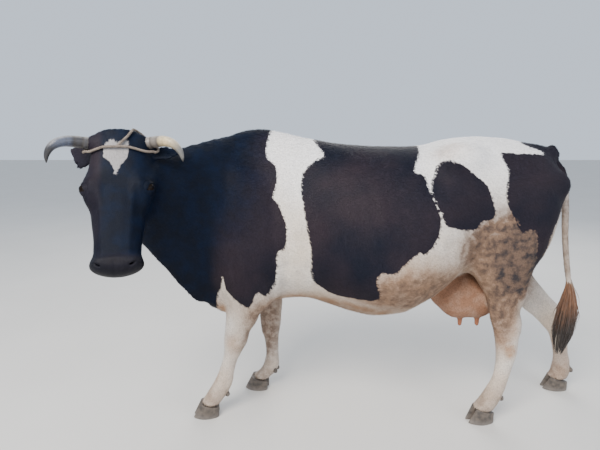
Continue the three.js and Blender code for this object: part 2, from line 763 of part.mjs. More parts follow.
// A claw: flat sole, round heel, pointed toe, its wall leaning back to a sloping coronet.
function claw(foot, side) {
  const length = (CLAW.toe + CLAW.heel) / 2;
  const half = CLAW.width / 2;
  const rows = footFrame(foot);
  return solidOf(
    reshaped(new THREE.CylinderGeometry(1, 1, 1, 14, 1), ([x, y, z]) => {
      const t = y + 0.5; // 0 at the sole, 1 at the coronet
      const toe = Math.max(x, 0) ** 2; // 1 at the tip of the toe
      const sole = CLAW.toe - length + x * length;
      const crown = sole - Math.max(sole, 0) * CLAW.lean;
      const along = sole + (crown - sole) * t;
      const height = (CLAW.height + CLAW.rise * crown) * t;
      const wall = z * (z < 0 ? CLAW.flat : 1) * (1 - CLAW.taper * toe) * (1 - CLAW.draw * t);
      const across = CLAW.gap / 2 + half * (CLAW.flat + wall) - CLAW.turnIn * toe * (1 - t);
      return outOf(rows, [...foot.at, 0], [along, side * across, height]);
    }),
  );
}

// The plane of the coronet, where the skin of the leg ends on the claws.
function coronet(foot) {
  const rows = footFrame(foot);
  const normal = unit(minus(Z, times(rows[0], CLAW.rise)));
  return [[...foot.at, CLAW.height + GAP], times(normal, -1)];
}

function dewclaw(foot, side, grow = 0) {
  const rows = footFrame(foot);
  const start = outOf(rows, [...foot.at, 0], [
    -DEWCLAW.behind, side * DEWCLAW.spread, DEWCLAW.at,
  ]);
  const seat = settle(flesh, start, 2, 12);
  const bud = new THREE.SphereGeometry(1, 6, 4);
  bud.scale(DEWCLAW.radius + grow, DEWCLAW.radius + grow, DEWCLAW.height + grow);
  bud.translate(...seat);
  return solidOf(bud);
}

// The rope: a loop across the forehead and round the back of both horns, and a strand from
// its knot on the forehead back over the poll. In the head's frame.
const ROPE_LOOP = [
  [54, 0, 0], [54, 40, 2], [60, 74, -2], [64, 100, -14], [46, 118, -40], [22, 120, -72],
  [0, 92, -92], [-12, 50, -108], [-16, 0, -118],
];
const ROPE_STRAND = [
  [56, 2, 2], [34, 22, 2], [8, 42, -4], [-26, 60, -30], [-38, 80, -58], [-4, 94, -90],
];
const ROPE_LIFT = ROPE_RADIUS + 3; // of its middle line off the flesh
const hornAxes = Object.keys(SIDES).flatMap((word) => hornCurve(word).getPoints(60));
// Distance to flesh and horns together, for what lies on them.
function withHorns(p) {
  const v = new THREE.Vector3(...p);
  const toHorns = Math.min(...hornAxes.map((q) => q.distanceTo(v))) - HORN_RADII[0][1];
  return melt(flesh(p), toHorns, 24);
}
function laid(points, closed) {
  const down = (p) => new THREE.Vector3(...settle(withHorns, p, ROPE_LIFT, 10));
  const rough = new THREE.CatmullRomCurve3(points.map(down), closed).getSpacedPoints(56);
  if (closed) rough.pop();
  return new THREE.CatmullRomCurve3(rough.map((q) => down(q.toArray())), closed);
}
function rope(grow = 0) {
  const mirrored = ROPE_LOOP.slice(1, -1).reverse().map(([u, s, v]) => [u, -s, v]);
  const points = (way) => way.map((q) => outOf(HEAD, POLL, q));
  const radius = ROPE_RADIUS + grow;
  const loop = closedTube(laid(points([...ROPE_LOOP, ...mirrored]), true), radius, 5, 40);
  const strand = taperedTube(laid(points(ROPE_STRAND), false), [[0, radius], [1, radius]], 5, 11);
  return solidOf(loop).add(solidOf(strand));
}

// ---------------------------------------------------------------- the parts of the flesh
const headPlane = [outOf([NECK_WAY, NECK_SIDE, Z], NECK_BASE, [625, 0, 0]), times(NECK_WAY, -1)];
const shoulderPlane = [[-320, 0, 970], unit([0.93, 0.25, -0.27])];
function earLeaf(word, grow = 0) {
  const at = monotone(EAR_STATIONS);
  const rows = earRows(word);
  const [first, last] = [EAR.start - grow, EAR.length + EAR_TIP + grow];
  return solidOf(
    reshaped(new THREE.CylinderGeometry(1, 1, 1, 12, 7), ([x, y, z]) => {
      const t = first + (y + 0.5) * (last - first);
      const [shift, half, thick] = at(t);
      const s = x * (half + grow);
      const bow = EAR_BOW * s * s;
      const q = [t, s + SIDES[word] * shift, z * (thick + grow) + bow];
      return outOf(rows, onHead(word, EAR.root), q);
    }),
  );
}
const forePlanes = (side) => [
  [[0, side * 42, 0], [0, -side, 0]],
  [[-235, side * 150, 690], unit([0, -side * -0.35, 0.94])],
  [[-50, 0, 0], X],
];
const hindPlanes = (side) => [
  [[0, side * 14, 0], [0, -side, 0]],
  [[980, side * 150, 860], unit([-0.45, side * 0.1, 0.88])],
  [[755, 0, 0], [-1, 0, 0]],
];
const udderPlanes = [
  [[0, 106, 0], Y],
  [[0, -106, 0], [0, -1, 0]],
  [[0, 0, 665], Z],
  [[640, 0, 0], [-1, 0, 0]],
  [[1010, 0, 0], X],
];
const teatPlanes = (q, side) => [
  [[q.teat, 0, TEAT.top - 17], Z],
  [[q.teat - 28, 0, 0], [-1, 0, 0]],
  [[q.teat + 28, 0, 0], X],
  [[0, side * (TEAT.y + 28), 0], [0, side, 0]],
  [[0, side * (TEAT.y - 28), 0], [0, -side, 0]],
];
const tailPlanes = [
  [[1245, 0, 1255], unit([-0.55, 0, 0.83])],
  [[1238, 0, 0], [-1, 0, 0]],
  [[0, 48, 0], Y],
  [[0, -48, 0], [0, -1, 0]],
];
const SWITCH_TOP = 690;

// ---------------------------------------------------------------- looks
const paint = (color, roughness, metalness = 0) =>
  new THREE.MeshStandardMaterial({ color, roughness, metalness });
const looks = {
  black: paint("#15151b", 0.6),
  white: paint("#cfc6b8", 0.7),
  udder: paint("#b98f74", 0.6),
  teat: paint("#b5684a", 0.5),
  horn: paint("#8f8d86", 0.4),
  claw: paint("#3c3733", 0.55),
  eye: paint("#0c0a0a", 0.1),
  tail: paint("#9a948a", 0.7),
  switch: paint("#5a3a28", 0.8),
  rope: paint("#6f6558", 0.9),
};

// ---------------------------------------------------------------- the cow
const cow = new THREE.Group();
cow.name = "cow";
function keep(name, solid, material) {
  const mesh = new THREE.Mesh(geometryOf(solid.simplify(SLIVER)), material);
  mesh.name = name;
  cow.add(mesh);
}
function buildHead() {
  let solid = fleshIn([-1000, -850, 860], [-420, -260, 1440], 9, 1480);
  solid = solid.intersect(region([headPlane]));
  for (const word of Object.keys(SIDES)) {
    keep("ear_" + word, earLeaf(word).subtract(rope(GAP)), looks.black);
    keep("eye_" + word, eye(word), looks.eye);
    keep("horn_" + word, horn(word), looks.horn);
    solid = solid
      .subtract(earLeaf(word, GAP))
      .subtract(eye(word, GAP))
      .subtract(horn(word, GAP));
  }
  keep("head", largest(solid), looks.black);
  keep("halter_rope", rope(), looks.rope);
}

function buildNeck() {
  let solid = fleshIn([-860, -640, 440], [-150, 330, 1460], 20, 1200);
  solid = solid.intersect(region([shoulderPlane])).subtract(region([headPlane], GAP));
  for (const word of Object.keys(SIDES)) solid = solid.subtract(earLeaf(word, GAP));
  for (const [, , planes] of LEGS) solid = solid.subtract(region(planes, GAP));
  keep("neck", largest(solid), looks.black);
}

function buildLeg(name, side, planes, box, budget, foot) {
  let solid = fleshIn(...box, 9, budget).intersect(region([...planes, coronet(foot)]));
  if (name.startsWith("hind")) solid = solid.subtract(region(udderPlanes, GAP));
  for (const [word, across] of Object.entries({ inner: side, outer: -side })) {
    keep(`dewclaw_${name}_${word}`, dewclaw(foot, across), looks.claw);
    solid = solid.subtract(dewclaw(foot, across, GAP));
    keep(`claw_${name}_${word}`, claw(foot, across), looks.claw);
  }
  keep("leg_" + name, largest(solid), looks.white);
}

const LEGS = [
  ["front_left", -1, forePlanes(-1), [[-600, -300, -30], [20, 10, 840]], 720, FEET[0]],
  ["front_right", 1, forePlanes(1), [[-480, -10, -30], [20, 300, 840]], 700, FEET[1]],
  ["hind_left", -1, hindPlanes(-1), [[696, -344, -27], [1280, 60, 1120]], 780, FEET[2]],
  ["hind_right", 1, hindPlanes(1), [[700, -60, -30], [1620, 340, 1120]], 880, FEET[3]],
];

function buildTrunk() {
  let solid = fleshIn([-566, -470, 411], [1330, 480, 1480], 22, 1720);
  solid = solid.subtract(region([shoulderPlane], GAP));
  for (const [, , planes] of LEGS) solid = solid.subtract(region(planes, GAP));
  solid = solid.subtract(region(udderPlanes, GAP)).subtract(region(tailPlanes, GAP));
  keep("trunk", largest(solid), looks.white);
}

function buildUdder() {
  let solid = fleshIn([600, -190, 420], [1060, 190, 760], 9, 580).intersect(region(udderPlanes));
  for (const q of QUARTERS)
    for (const [word, side] of Object.entries(SIDES)) {
      const planes = teatPlanes(q, side);
      const low = [q.teat - 50, side * TEAT.y - 50, TEAT.tip - 40];
      const teat = fleshIn(low, plus(low, [100, 100, 130]), 4, 110).intersect(region(planes));
      keep(`teat_${q.name}_${word}`, largest(teat), looks.teat);
      solid = solid.subtract(region(planes, GAP));
    }
  keep("udder", largest(solid), looks.udder);
}

function buildTail() {
  const end = [[0, 0, SWITCH_TOP + GAP], [0, 0, -1]];
  const solid = fleshIn([1180, -90, 640], [1420, 90, 1340], 6, 620);
  keep("tail", largest(solid.intersect(region([...tailPlanes, end]))), looks.tail);
  const form = limb(SWITCH, 10);
  const hair = fleshIn([1260, -80, 180], [1480, 80, 760], 10, 240, form.distance);
  keep("tail_switch", hair.intersect(slab([0, 0, SWITCH_TOP], Z)), looks.switch);
}

buildHead();
buildNeck();
for (const leg of LEGS) buildLeg(...leg);
buildTrunk();
buildUdder();
buildTail();

// The origin is on the floor under the middle of the whole cow.
const box = new THREE.Box3().setFromObject(cow);
const middle = box.getCenter(new THREE.Vector3());
cow.position.set(-middle.x, -middle.y, -box.min.z);
const part = new THREE.Group();
part.add(cow);

export default part;
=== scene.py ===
from math import cos, radians, sin, tau

import bmesh
import bpy
import numpy as np
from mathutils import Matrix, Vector


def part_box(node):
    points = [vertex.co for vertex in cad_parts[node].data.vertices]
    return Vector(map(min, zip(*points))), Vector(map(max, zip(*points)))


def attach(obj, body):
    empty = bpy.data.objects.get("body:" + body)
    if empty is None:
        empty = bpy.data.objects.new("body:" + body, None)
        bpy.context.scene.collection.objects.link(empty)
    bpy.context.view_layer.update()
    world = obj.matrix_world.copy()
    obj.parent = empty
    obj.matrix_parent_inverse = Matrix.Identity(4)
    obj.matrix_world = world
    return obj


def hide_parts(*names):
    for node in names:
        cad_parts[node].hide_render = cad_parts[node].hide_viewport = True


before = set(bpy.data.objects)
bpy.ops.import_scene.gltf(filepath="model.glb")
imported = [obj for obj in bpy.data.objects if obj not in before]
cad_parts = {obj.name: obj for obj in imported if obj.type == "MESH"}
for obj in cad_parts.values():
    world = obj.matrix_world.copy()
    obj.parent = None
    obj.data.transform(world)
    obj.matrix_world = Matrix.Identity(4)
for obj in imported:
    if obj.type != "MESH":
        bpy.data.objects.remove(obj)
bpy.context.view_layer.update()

RANDOM = np.random.default_rng(7)
X, Y, Z = np.eye(3)

# ------------------------------------------------------------------ driving dimensions
FACE_TILT = radians(27)  # of the face line from the vertical
FACE_TURN = radians(12)  # of the face from straight left
POLL = np.array([-697.0, -462.0, 1392.0])
EYE_AT, EYE_RADIUS = np.array([206.0, 112.0, -38.0]), 21.0
EAR_ROOT, EAR_LENGTH, EAR_BOW = np.array([52.0, 84.0, -74.0]), 175.0, 0.0085
# Which way an ear's hollow faces and which way it points: out, ahead and up.
EAR_HOLLOW = {"left": [0.3, 0.45, 0.75], "right": [0.45, 0.8, 0.1]}
EAR_WAY = {"left": [0.9, -0.26, 0.1], "right": [0.71, -0.7, 0.07]}
NECK_BASE = np.array([-150.0, 60.0, 1080.0])
NECK_TOP = np.array([-660.0, -390.0, 1215.0])
SIDES = {"left": -1, "right": 1}


def unit(a):
    a = np.asarray(a, float)
    return a / np.linalg.norm(a, axis=-1, keepdims=True)


def frame_of(axis, side):
    """Rows: the axis, the side made square to it, and their cross product."""
    a = unit(axis)
    s = np.asarray(side, float)
    s = unit(s - a * (a @ s))
    return np.array([a, s, np.cross(a, s)])


AHEAD = np.array([sin(FACE_TURN), -cos(FACE_TURN), 0.0])
HEAD = frame_of(AHEAD * sin(FACE_TILT) - Z * cos(FACE_TILT), [cos(FACE_TURN), sin(FACE_TURN), 0])
NECK_WAY = unit(NECK_TOP - NECK_BASE)
NECK = frame_of(NECK_WAY, [-NECK_WAY[1], NECK_WAY[0], 0])


def level_way(word, way):
    """A direction out to the side, ahead and up of the head, in the cow's frame."""
    out, ahead, up = way
    return HEAD[1] * (-SIDES[word] * out) + AHEAD * ahead + Z * up


def on_head(word, q):
    return POLL + np.array([q[0], -SIDES[word] * q[1], q[2]]) @ HEAD


OFFSET = np.mean(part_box("eye_left"), axis=0) - on_head("left", EYE_AT) / 1000


def metres(points):
    return np.asarray(points) / 1000 + OFFSET


def to_head(p):
    """Places in the frame of the head: down the face, across it, and out of it."""
    return (p - POLL) @ HEAD.T


def in_head(p):
    """The same, folded onto the left half of the head."""
    q = to_head(p)
    q[:, 1] = np.abs(q[:, 1])
    return q


def to_neck(p):
    """Places in the frame of the neck: up along it, to its side, and across both."""
    return (p - NECK_BASE) @ NECK.T


def folded(p, side=-1):
    """Places brought over to one side of the cow, the left one unless told otherwise."""
    return np.stack([p[:, 0], np.abs(p[:, 1]) * side, p[:, 2]], 1)


def hump(value, middle, width):
    """1 at the middle, falling off over the width to either side."""
    return np.exp(-(((value - middle) / width) ** 2))


def nearness(p, at, radii):
    """1 at the place, falling off over the radii around it."""
    q = (p - at) / radii
    return np.exp(-(q * q).sum(1))


# ------------------------------------------------------------------ forms of the flesh
KINDS = ["trunk", "neck", "head", "muzzle", "ear", "leg", "udder", "teat", "tail"]
# Per kind: how deep the coat is, how long its tufts are (mm) and how many to a square metre.
DEPTH = np.array([4.0, 4.0, 2.4, 0.6, 1.2, 3.0, 1.2, 0.4, 2.6])
LENGTH = np.array([12.5, 13.0, 7.0, 3.0, 9.0, 9.0, 6.0, 3.0, 18.0])
CROWD = np.array([34e3, 36e3, 90e3, 0, 90e3, 46e3, 14e3, 0, 60e3])


def share_of(kinds, *names):
    """How much of these kinds there is at each place."""
    return sum(kinds[:, KINDS.index(name)] for name in names)


def monotone(t, v):
    """A cubic through the stations that never overshoots them."""
    step = np.diff(t)
    rise = np.diff(v, axis=0) / step[:, None]
    slope = np.zeros_like(v)
    slope[0], slope[-1] = rise[0], rise[-1]
    a, b = rise[:-1], rise[1:]
    wa, wb = (2 * step[1:] + step[:-1])[:, None], (step[1:] + 2 * step[:-1])[:, None]
    with np.errstate(divide="ignore", invalid="ignore"):
        mean = (wa + wb) / (wa / a + wb / b)
    slope[1:-1] = np.where(a * b > 0, mean, 0.0)

    def at(x):
        x = np.clip(x, t[0], t[-1])
        i = np.clip(np.searchsorted(t, x, side="right") - 1, 0, len(t) - 2)
        h = step[i][..., None]
        u = ((x - t[i]) / step[i])[..., None]
        w = 1 - u
        return (v[i] * (1 + 2 * u) * w * w + slope[i] * h * u * w * w
                + v[i + 1] * u * u * (3 - 2 * u) + slope[i + 1] * h * u * u * (u - 1))

    return at


class Column:
    """A loft along a fixed axis with domed ends. A station is
    [t, centre s, centre u, half width, up, down, power above, power below]."""

    def __init__(self, kind, origin, axis, side, stations, domes, blend, cup=0.0):
        st = np.array(stations, float)
        self.kind, self.blend, self.cup, self.domes = KINDS.index(kind), blend, cup, domes
        self.origin, self.rows = np.asarray(origin, float), frame_of(axis, side)
        self.first, self.last = st[0, 0], st[-1, 0]
        self.at = monotone(st[:, 0], st[:, 1:])
        reach = (np.abs(st[:, 1]) + np.abs(st[:, 2]) + st[:, 3:6].max(1)).max()
        ends = [self.origin + self.rows[0] * t
                for t in (self.first - domes[0], self.last + domes[1])]
        self.low, self.high = np.min(ends, 0) - reach, np.max(ends, 0) + reach

    def distance(self, p):
        t, s, u = ((p - self.origin) @ self.rows.T).T
        v = self.at(t)
        s = s - v[:, 0]
        u = u - v[:, 1] - self.cup * s * s
        above = u > 0
        height = np.where(above, v[:, 3], v[:, 4])
        power = np.where(above, v[:, 5], v[:, 6])
        ring = ((np.abs(s) / v[:, 2] + 1e-9) ** power
                + (np.abs(u) / height + 1e-9) ** power) ** (1 / power)
        before, after = np.maximum(self.first - t, 0), np.maximum(t - self.last, 0)
        rho = np.sqrt(ring**2 + (before / self.domes[0]) ** 2
                      + (after / self.domes[1]) ** 2) + 1e-9
        return np.sqrt(s * s + u * u + before**2 + after**2) * (1 - 1 / rho)


class Ball:
    """A turned ellipsoid: rows are the directions of its three radii."""

    def __init__(self, kind, at, radii, blend, rows=None):
        self.kind, self.blend = KINDS.index(kind), blend
        self.centre, self.radii = np.asarray(at, float), np.asarray(radii, float)
        self.rows = np.eye(3) if rows is None else np.asarray(rows, float)
        reach = self.radii.max()
        self.low, self.high = self.centre - reach, self.centre + reach

    def distance(self, p):
        q = (p - self.centre) @ self.rows.T / self.radii
        k0 = np.sqrt((q * q).sum(1)) + 1e-12
        k1 = np.sqrt(((q / self.radii) ** 2).sum(1)) + 1e-12
        return k0 * (k0 - 1) / k1


FAR, MARGIN = 400.0, 30.0
DETAIL_REACH = 60  # details of the surface are worked out this far from it


def melt(d, kinds, other, other_kinds, width):
    """Two forms melted into one, with their kinds mixed in the melt."""
    m = 0.5 * (np.maximum(width - np.abs(d - other), 0) / width) ** 2
    share = np.where(d < other, m, 1 - m)[:, None]
    return np.minimum(d, other) - 0.5 * m * width, kinds * (1 - share) + other_kinds * share


def evaluate(forms, p):
    """Distance to the melted forms at each place, and how much of each kind is there."""
    d = np.full(len(p), FAR)
    kinds = np.zeros((len(p), len(KINDS)), np.float32)
    for form in forms:
        pad = form.blend + MARGIN
        near = np.all((p > form.low - pad) & (p < form.high + pad), axis=1)
        if not near.any():
            continue
        if hasattr(form, "measure"):
            other, other_kinds = form.measure(p[near])
        else:
            other = form.distance(p[near])
            other_kinds = np.eye(len(KINDS), dtype=np.float32)[form.kind]
        d[near], kinds[near] = melt(d[near], kinds[near], other, other_kinds, form.blend)
    return d, kinds


def both(at):
    """A place and its mirror image on the other side."""
    return [at, [at[0], -at[1], at[2]]]


class Head:
    """Skull, jaw, muzzle, cheeks, brows and horn bases; a point is folded onto one half."""

    blend = 60

    def __init__(self):
        skull = [
            [-15, 0, -62, 84, 58, 70, 2.4, 2], [30, 0, -62, 96, 62, 95, 2.4, 2],
            [110, 0, -64, 106, 62, 120, 2.4, 2], [180, 0, -66, 112, 62, 134, 2.4, 2],
            [250, 0, -72, 101, 66, 122, 2.3, 2], [320, 0, -74, 94, 64, 104, 2.3, 2],
            [390, 0, -72, 89, 60, 84, 2.4, 2], [450, 0, -68, 85, 56, 66, 2.4, 2],
            [500, 0, -62, 82, 50, 50, 2.3, 2],
        ]
        jaw = [
            [110, 0, -170, 64, 50, 62, 2, 2], [200, 0, -165, 70, 50, 60, 2, 2],
            [300, 0, -140, 60, 45, 50, 2, 2], [400, 0, -116, 46, 36, 38, 2, 2],
            [470, 0, -106, 36, 30, 28, 2, 2],
        ]
        self.forms = [
            Column("head", [0, 0, 0], X, Y, skull, [25, 30], 30),
            Ball("head", [20, 0, -105], [55, 82, 62], 40),
            Ball("muzzle", [492, 0, -58], [44, 92, 52], 25),
            Ball("muzzle", [470, 0, -106], [52, 60, 34], 30),
            Column("head", [0, 0, 0], X, Y, jaw, [60, 20], 35),
            Ball("head", [185, 68, -125], [100, 46, 92], 40),
            Ball("head", [204, 90, -50], [60, 35, 38], 36),
            Ball("head", [16, 85, -46], [32, 34, 30], 25),
        ]
        reach = 680
        self.low, self.high = POLL - reach, POLL + reach

    def measure(self, p):
        q = in_head(p)
        d, kinds = evaluate(self.forms, q)
        return head_details(q, d), kinds


# The eye, in the folded frame of the head: the way it looks, along the slit, across it.
LOOK = frame_of([-0.05, 0.86, 0.5], [0.6, 0, 0.8])
SLIT = {"half": 21.0, "open": 10.5, "rise": -1.0, "from": 6.0}
LID_THICK, LID_MELT, RIM_ROUNDING, SOCKET = 3.6, 12, 1.5, 40
NOSTRIL = {"at": [495, 62, -18], "radii": [17, 6, 24], "rounding": 6}
NOSTRIL_ROWS = frame_of([-0.6, 0.75, -0.3], [-0.67, -0.285, 0.62])
PAD_RIM = np.array([[478, 0, -8], [480, 40, -14], [488, 70, -30], [496, 84, -58]], float)
BRIDGE_EDGE = np.array([[190, 60, -16], [270, 58, -14], [370, 54, -14], [450, 50, -12]], float)
CREST = np.array([[250, 98, -72], [300, 92, -78], [350, 86, -80]], float)  # below the eye
# [place, three radii, height]: raised, or sunk below nought, on the left half of the head.
FACE = [
    [[300, 78, -34], [80, 15, 24], -4.0],  # beside the bridge
    [[330, 0, -12], [130, 30, 20], -1.5],  # along the middle of the bridge
    [[150, 98, -30], [26, 26, 26], -6.0],  # temple
    [[186, 84, -8], [26, 24, 16], 4.0],  # brow
    [[110, 0, -4], [60, 40, 20], -3.0],  # middle of the forehead
    [[232, 92, -40], [22, 22, 24], -3.5],  # below the eye
    [[250, 100, -150], [70, 30, 60], 5.0],  # jaw muscle
    [[486, 62, -14], [20, 22, 16], 5.0],  # wing of the nostril
    [[516, 0, -20], [40, 5, 44], -2.5],  # groove of the lip
    [[400, 74, -60], [50, 20, 40], -3.0],  # in front of the cheek
]
MOUTH = np.array([[536, 0, -80], [530, 28, -83], [508, 52, -88], [470, 62, -94], [424, 60, -102]],
                 float)
# [line, height, half width]: ridges, or a groove below nought.
FACE_LINES = [[MOUTH, -4.5, 3.4], [PAD_RIM, 3.5, 8], [BRIDGE_EDGE, 3.2, 11], [CREST, 3.5, 12]]
LID_CREASES = [[31.0, 2.6], [38.0, 1.6]]  # how far from the middle of the eye, how deep
CREASE_WIDTH, CREASE_HALF, CREASE_FROM = 2.6, 26, 8


def smooth_max(a, b, width):
    h = np.maximum(width - np.abs(a - b), 0) / width
    return np.maximum(a, b) + h * h * width * 0.25


def off_line(p, line):
    """Distance of points from a broken line."""
    best = np.full(len(p), 1e9)
    for a, b in zip(line[:-1], line[1:]):
        way = b - a
        t = np.clip((p - a) @ way / (way @ way), 0, 1)
        best = np.minimum(best, np.linalg.norm(p - a - t[:, None] * way, axis=1))
    return best


def at_eye(q):
    """Places of the folded head as the eye has them: out, along the slit and across it."""
    return ((q - EYE_AT) @ LOOK.T).T


def past_slit(c, w):
    """How far places lie past the rims of the slit between the lids, negative in it."""
    return np.abs(w - SLIT["rise"]) - SLIT["open"] * (1 - (c / SLIT["half"]) ** 2)


def head_details(q, d):
    """Lids, nostrils, mouth line and folds cut into or raised on the head."""
    near = np.abs(d) < DETAIL_REACH
    p, e = q[near], d[near]
    o, c, w = at_eye(p)
    ball = np.sqrt(o * o + c * c + w * w)
    slit = np.maximum(past_slit(c, w), SLIT["from"] - o)
    shell = smooth_max(ball - EYE_RADIUS - LID_THICK, -slit, 3)
    e = -smooth_max(-e, -shell, LID_MELT)
    for far, deep in LID_CREASES:
        band = hump(ball, far, CREASE_WIDTH) * hump(c, 0, CREASE_HALF) * (o > 0)
        e = e + deep * band * (np.abs(w) > CREASE_FROM)
    e = smooth_max(e, -np.maximum(slit, ball - SOCKET), RIM_ROUNDING)
    r = (p - NOSTRIL["at"]) @ NOSTRIL_ROWS.T / NOSTRIL["radii"]
    hole = (np.sqrt((r * r).sum(1)) - 1) * min(NOSTRIL["radii"])
    e = smooth_max(e, -hole, NOSTRIL["rounding"])
    for line, height, half in FACE_LINES:
        e = e - height * hump(off_line(p, line), 0, half)
    for at, radii, height in FACE:
        e = e - height * nearness(p, at, radii)
    d = d.copy()
    d[near] = e
    return d


# [t, shift of the middle towards the lower edge, half width, half thickness]
EAR_STATIONS = [[0, 0, 20, 16], [25, 6, 27, 11], [55, 17, 39, 7], [85, 20, 42, 6],
                [120, 12, 33, 5.5], [150, 2, 20, 5], [EAR_LENGTH, -6, 7, 4.5]]


def ear_rows(word):
    """Rows: the way an ear points, across it, and the way its hollow faces."""
    along = unit(level_way(word, EAR_WAY[word]))
    return frame_of(along, np.cross(level_way(word, EAR_HOLLOW[word]), along))


def ear(word):
    along, across, _ = ear_rows(word)
    stations = [[t, SIDES[word] * shift, 0, half, thick, thick, 2, 2]
                for t, shift, half, thick in EAR_STATIONS]
    return Column("ear", on_head(word, EAR_ROOT), along, across, stations, [15, 6], 14, EAR_BOW)


NECK_STATIONS = [
    [0, 0, 0, 195, 310, 390, 1.9, 1.8], [150, -25, 0, 170, 296, 548, 1.8, 1.45],
    [300, -35, 0, 142, 250, 532, 1.8, 1.35], [450, -30, 0, 122, 186, 418, 1.9, 1.35],
    [570, -18, 0, 110, 138, 312, 2.0, 1.5], [700, 0, 0, 98, 125, 205, 2.0, 1.9],
]
TRUNK_STATIONS = [
    [-440, 0, 800, 140, 270, 272, 2, 1.9], [-370, 0, 840, 200, 430, 338, 2, 1.8],
    [-280, 0, 870, 225, 505, 352, 1.8, 1.8], [-180, 0, 890, 245, 522, 330, 1.6, 1.9],
    [-80, 0, 900, 250, 502, 318, 1.7, 1.9], [40, 0, 890, 268, 490, 300, 1.9, 2.0],
    [150, 0, 860, 305, 501, 300, 2.0, 2.0], [260, 0, 830, 340, 520, 302, 2.0, 2.0],
    [370, 0, 812, 360, 532, 300, 2.0, 2.0], [480, 0, 820, 360, 523, 295, 2.0, 2.0],
    [580, 0, 860, 338, 488, 285, 2.1, 2.1], [680, 0, 930, 300, 442, 285, 2.4, 2.2],
    [760, 0, 1000, 272, 384, 290, 2.5, 2.2], [870, 0, 1050, 252, 338, 310, 2.4, 2.2],
    [980, 0, 1065, 238, 314, 320, 2.2, 2.2], [1080, 0, 1075, 212, 280, 320, 2.2, 2.2],
    [1150, 0, 1080, 180, 245, 290, 2.2, 2.2], [1190, 0, 1080, 140, 215, 240, 2.2, 2.2],
]
# Limbs and tail: [height, x, y, half length, half width to +Y, half width to -Y].
FORE_LEFT = [
    [880, -265, -160, 140, 80, 80], [780, -262, -158, 150, 85, 85],
    [700, -250, -152, 138, 75, 80], [640, -236, -148, 118, 65, 70],
    [590, -250, -142, 98, 58, 60], [556, -271, -138, 86, 52, 55],
    [504, -286, -136, 76, 46, 50], [453, -305, -136, 63, 44, 47],
    [401, -315, -135, 59, 47, 49], [353, -328, -133, 46, 38, 38],
    [289, -350, -130, 38, 31, 31], [236, -366, -128, 40, 32, 32],
    [182, -383, -125, 48, 40, 40], [127, -412, -122, 52, 43, 43],
    [75, -446, -122, 50, 46, 46],
]
FORE_RIGHT = [
    [880, -262, 160, 140, 80, 80], [780, -250, 158, 150, 85, 85],
    [700, -235, 152, 138, 80, 75], [640, -212, 148, 115, 70, 65],
    [590, -195, 144, 100, 60, 58], [556, -182, 141, 86, 55, 52],
    [504, -166, 138, 72, 50, 46], [454, -160, 136, 62, 47, 44],
    [397, -160, 135, 58, 48, 46], [339, -161, 134, 50, 40, 40],
    [300, -157, 133, 41, 34, 34], [217, -153, 132, 36, 31, 31],
    [156, -157, 133, 43, 39, 39], [107, -178, 136, 47, 42, 42],
    [75, -212, 138, 50, 45, 45],
]
HIND_LEFT = [
    [1180, 1010, -115, 150, 95, 100], [1080, 1015, -130, 175, 105, 110],
    [950, 995, -142, 172, 105, 108], [860, 975, -148, 162, 95, 100],
    [780, 952, -150, 146, 80, 90], [700, 961, -152, 116, 64, 74],
    [643, 978, -154, 97, 52, 60], [586, 976, -156, 80, 44, 49],
    [528, 979, -157, 68, 39, 42], [469, 990, -158, 60, 39, 42],
    [410, 999, -159, 56, 41, 43], [351, 1002, -160, 51, 39, 40],
    [290, 995, -161, 43, 33, 34], [229, 983, -163, 40, 31, 32],
    [168, 961, -165, 45, 38, 38], [106, 930, -168, 50, 44, 44],
    [75, 908, -169, 51, 47, 47],
]
HIND_RIGHT = [
    [1180, 1010, 115, 150, 100, 95], [1080, 1018, 130, 175, 110, 105],
    [950, 1015, 142, 175, 108, 105], [860, 1030, 148, 168, 100, 95],
    [780, 1060, 150, 152, 90, 80], [700, 1105, 150, 128, 76, 64],
    [643, 1150, 149, 115, 62, 52], [586, 1205, 147, 108, 50, 45],
    [528, 1262, 146, 104, 44, 40], [469, 1322, 145, 104, 42, 40],
    [420, 1372, 144, 92, 43, 41], [370, 1405, 143, 74, 42, 40],
    [320, 1428, 143, 54, 38, 36], [270, 1438, 142, 45, 34, 34],
    [215, 1447, 140, 41, 32, 32], [160, 1456, 138, 45, 38, 38],
    [106, 1455, 136, 50, 45, 45], [75, 1442, 134, 51, 47, 47],
]
TAIL = [
    [1285, 1212, 0, 24, 24, 24], [1230, 1262, 0, 24, 23, 23], [1150, 1290, 0, 20, 20, 20],
    [1050, 1306, 0, 18, 18, 18], [905, 1321, 0, 16, 16, 16], [760, 1345, 0, 15, 15, 15],
    [655, 1367, 0, 14, 14, 14],
]
SWITCH = [
    [700, 1357, 0, 17, 17, 17], [650, 1368, 0, 30, 24, 24], [595, 1374, 0, 50, 36, 36],
    [511, 1374, 0, 68, 44, 44], [420, 1367, 0, 64, 42, 42], [330, 1358, 0, 42, 30, 30],
    [275, 1352, 0, 20, 16, 16],
]
QUARTERS = [[788, 60, 804], [884, 54, 890]]  # x, y and the teat's x
TEAT = {"top": 512, "tip": 452, "radius": 13, "y": 56}


def limb(kind, stations, blend):
    rows = [[z, x, y, half, right, left, 2.1, 2.1] for z, x, y, half, right, left in stations]
    return Column(kind, [0, 0, 0], Z, X, rows[::-1], [15, 60], blend)


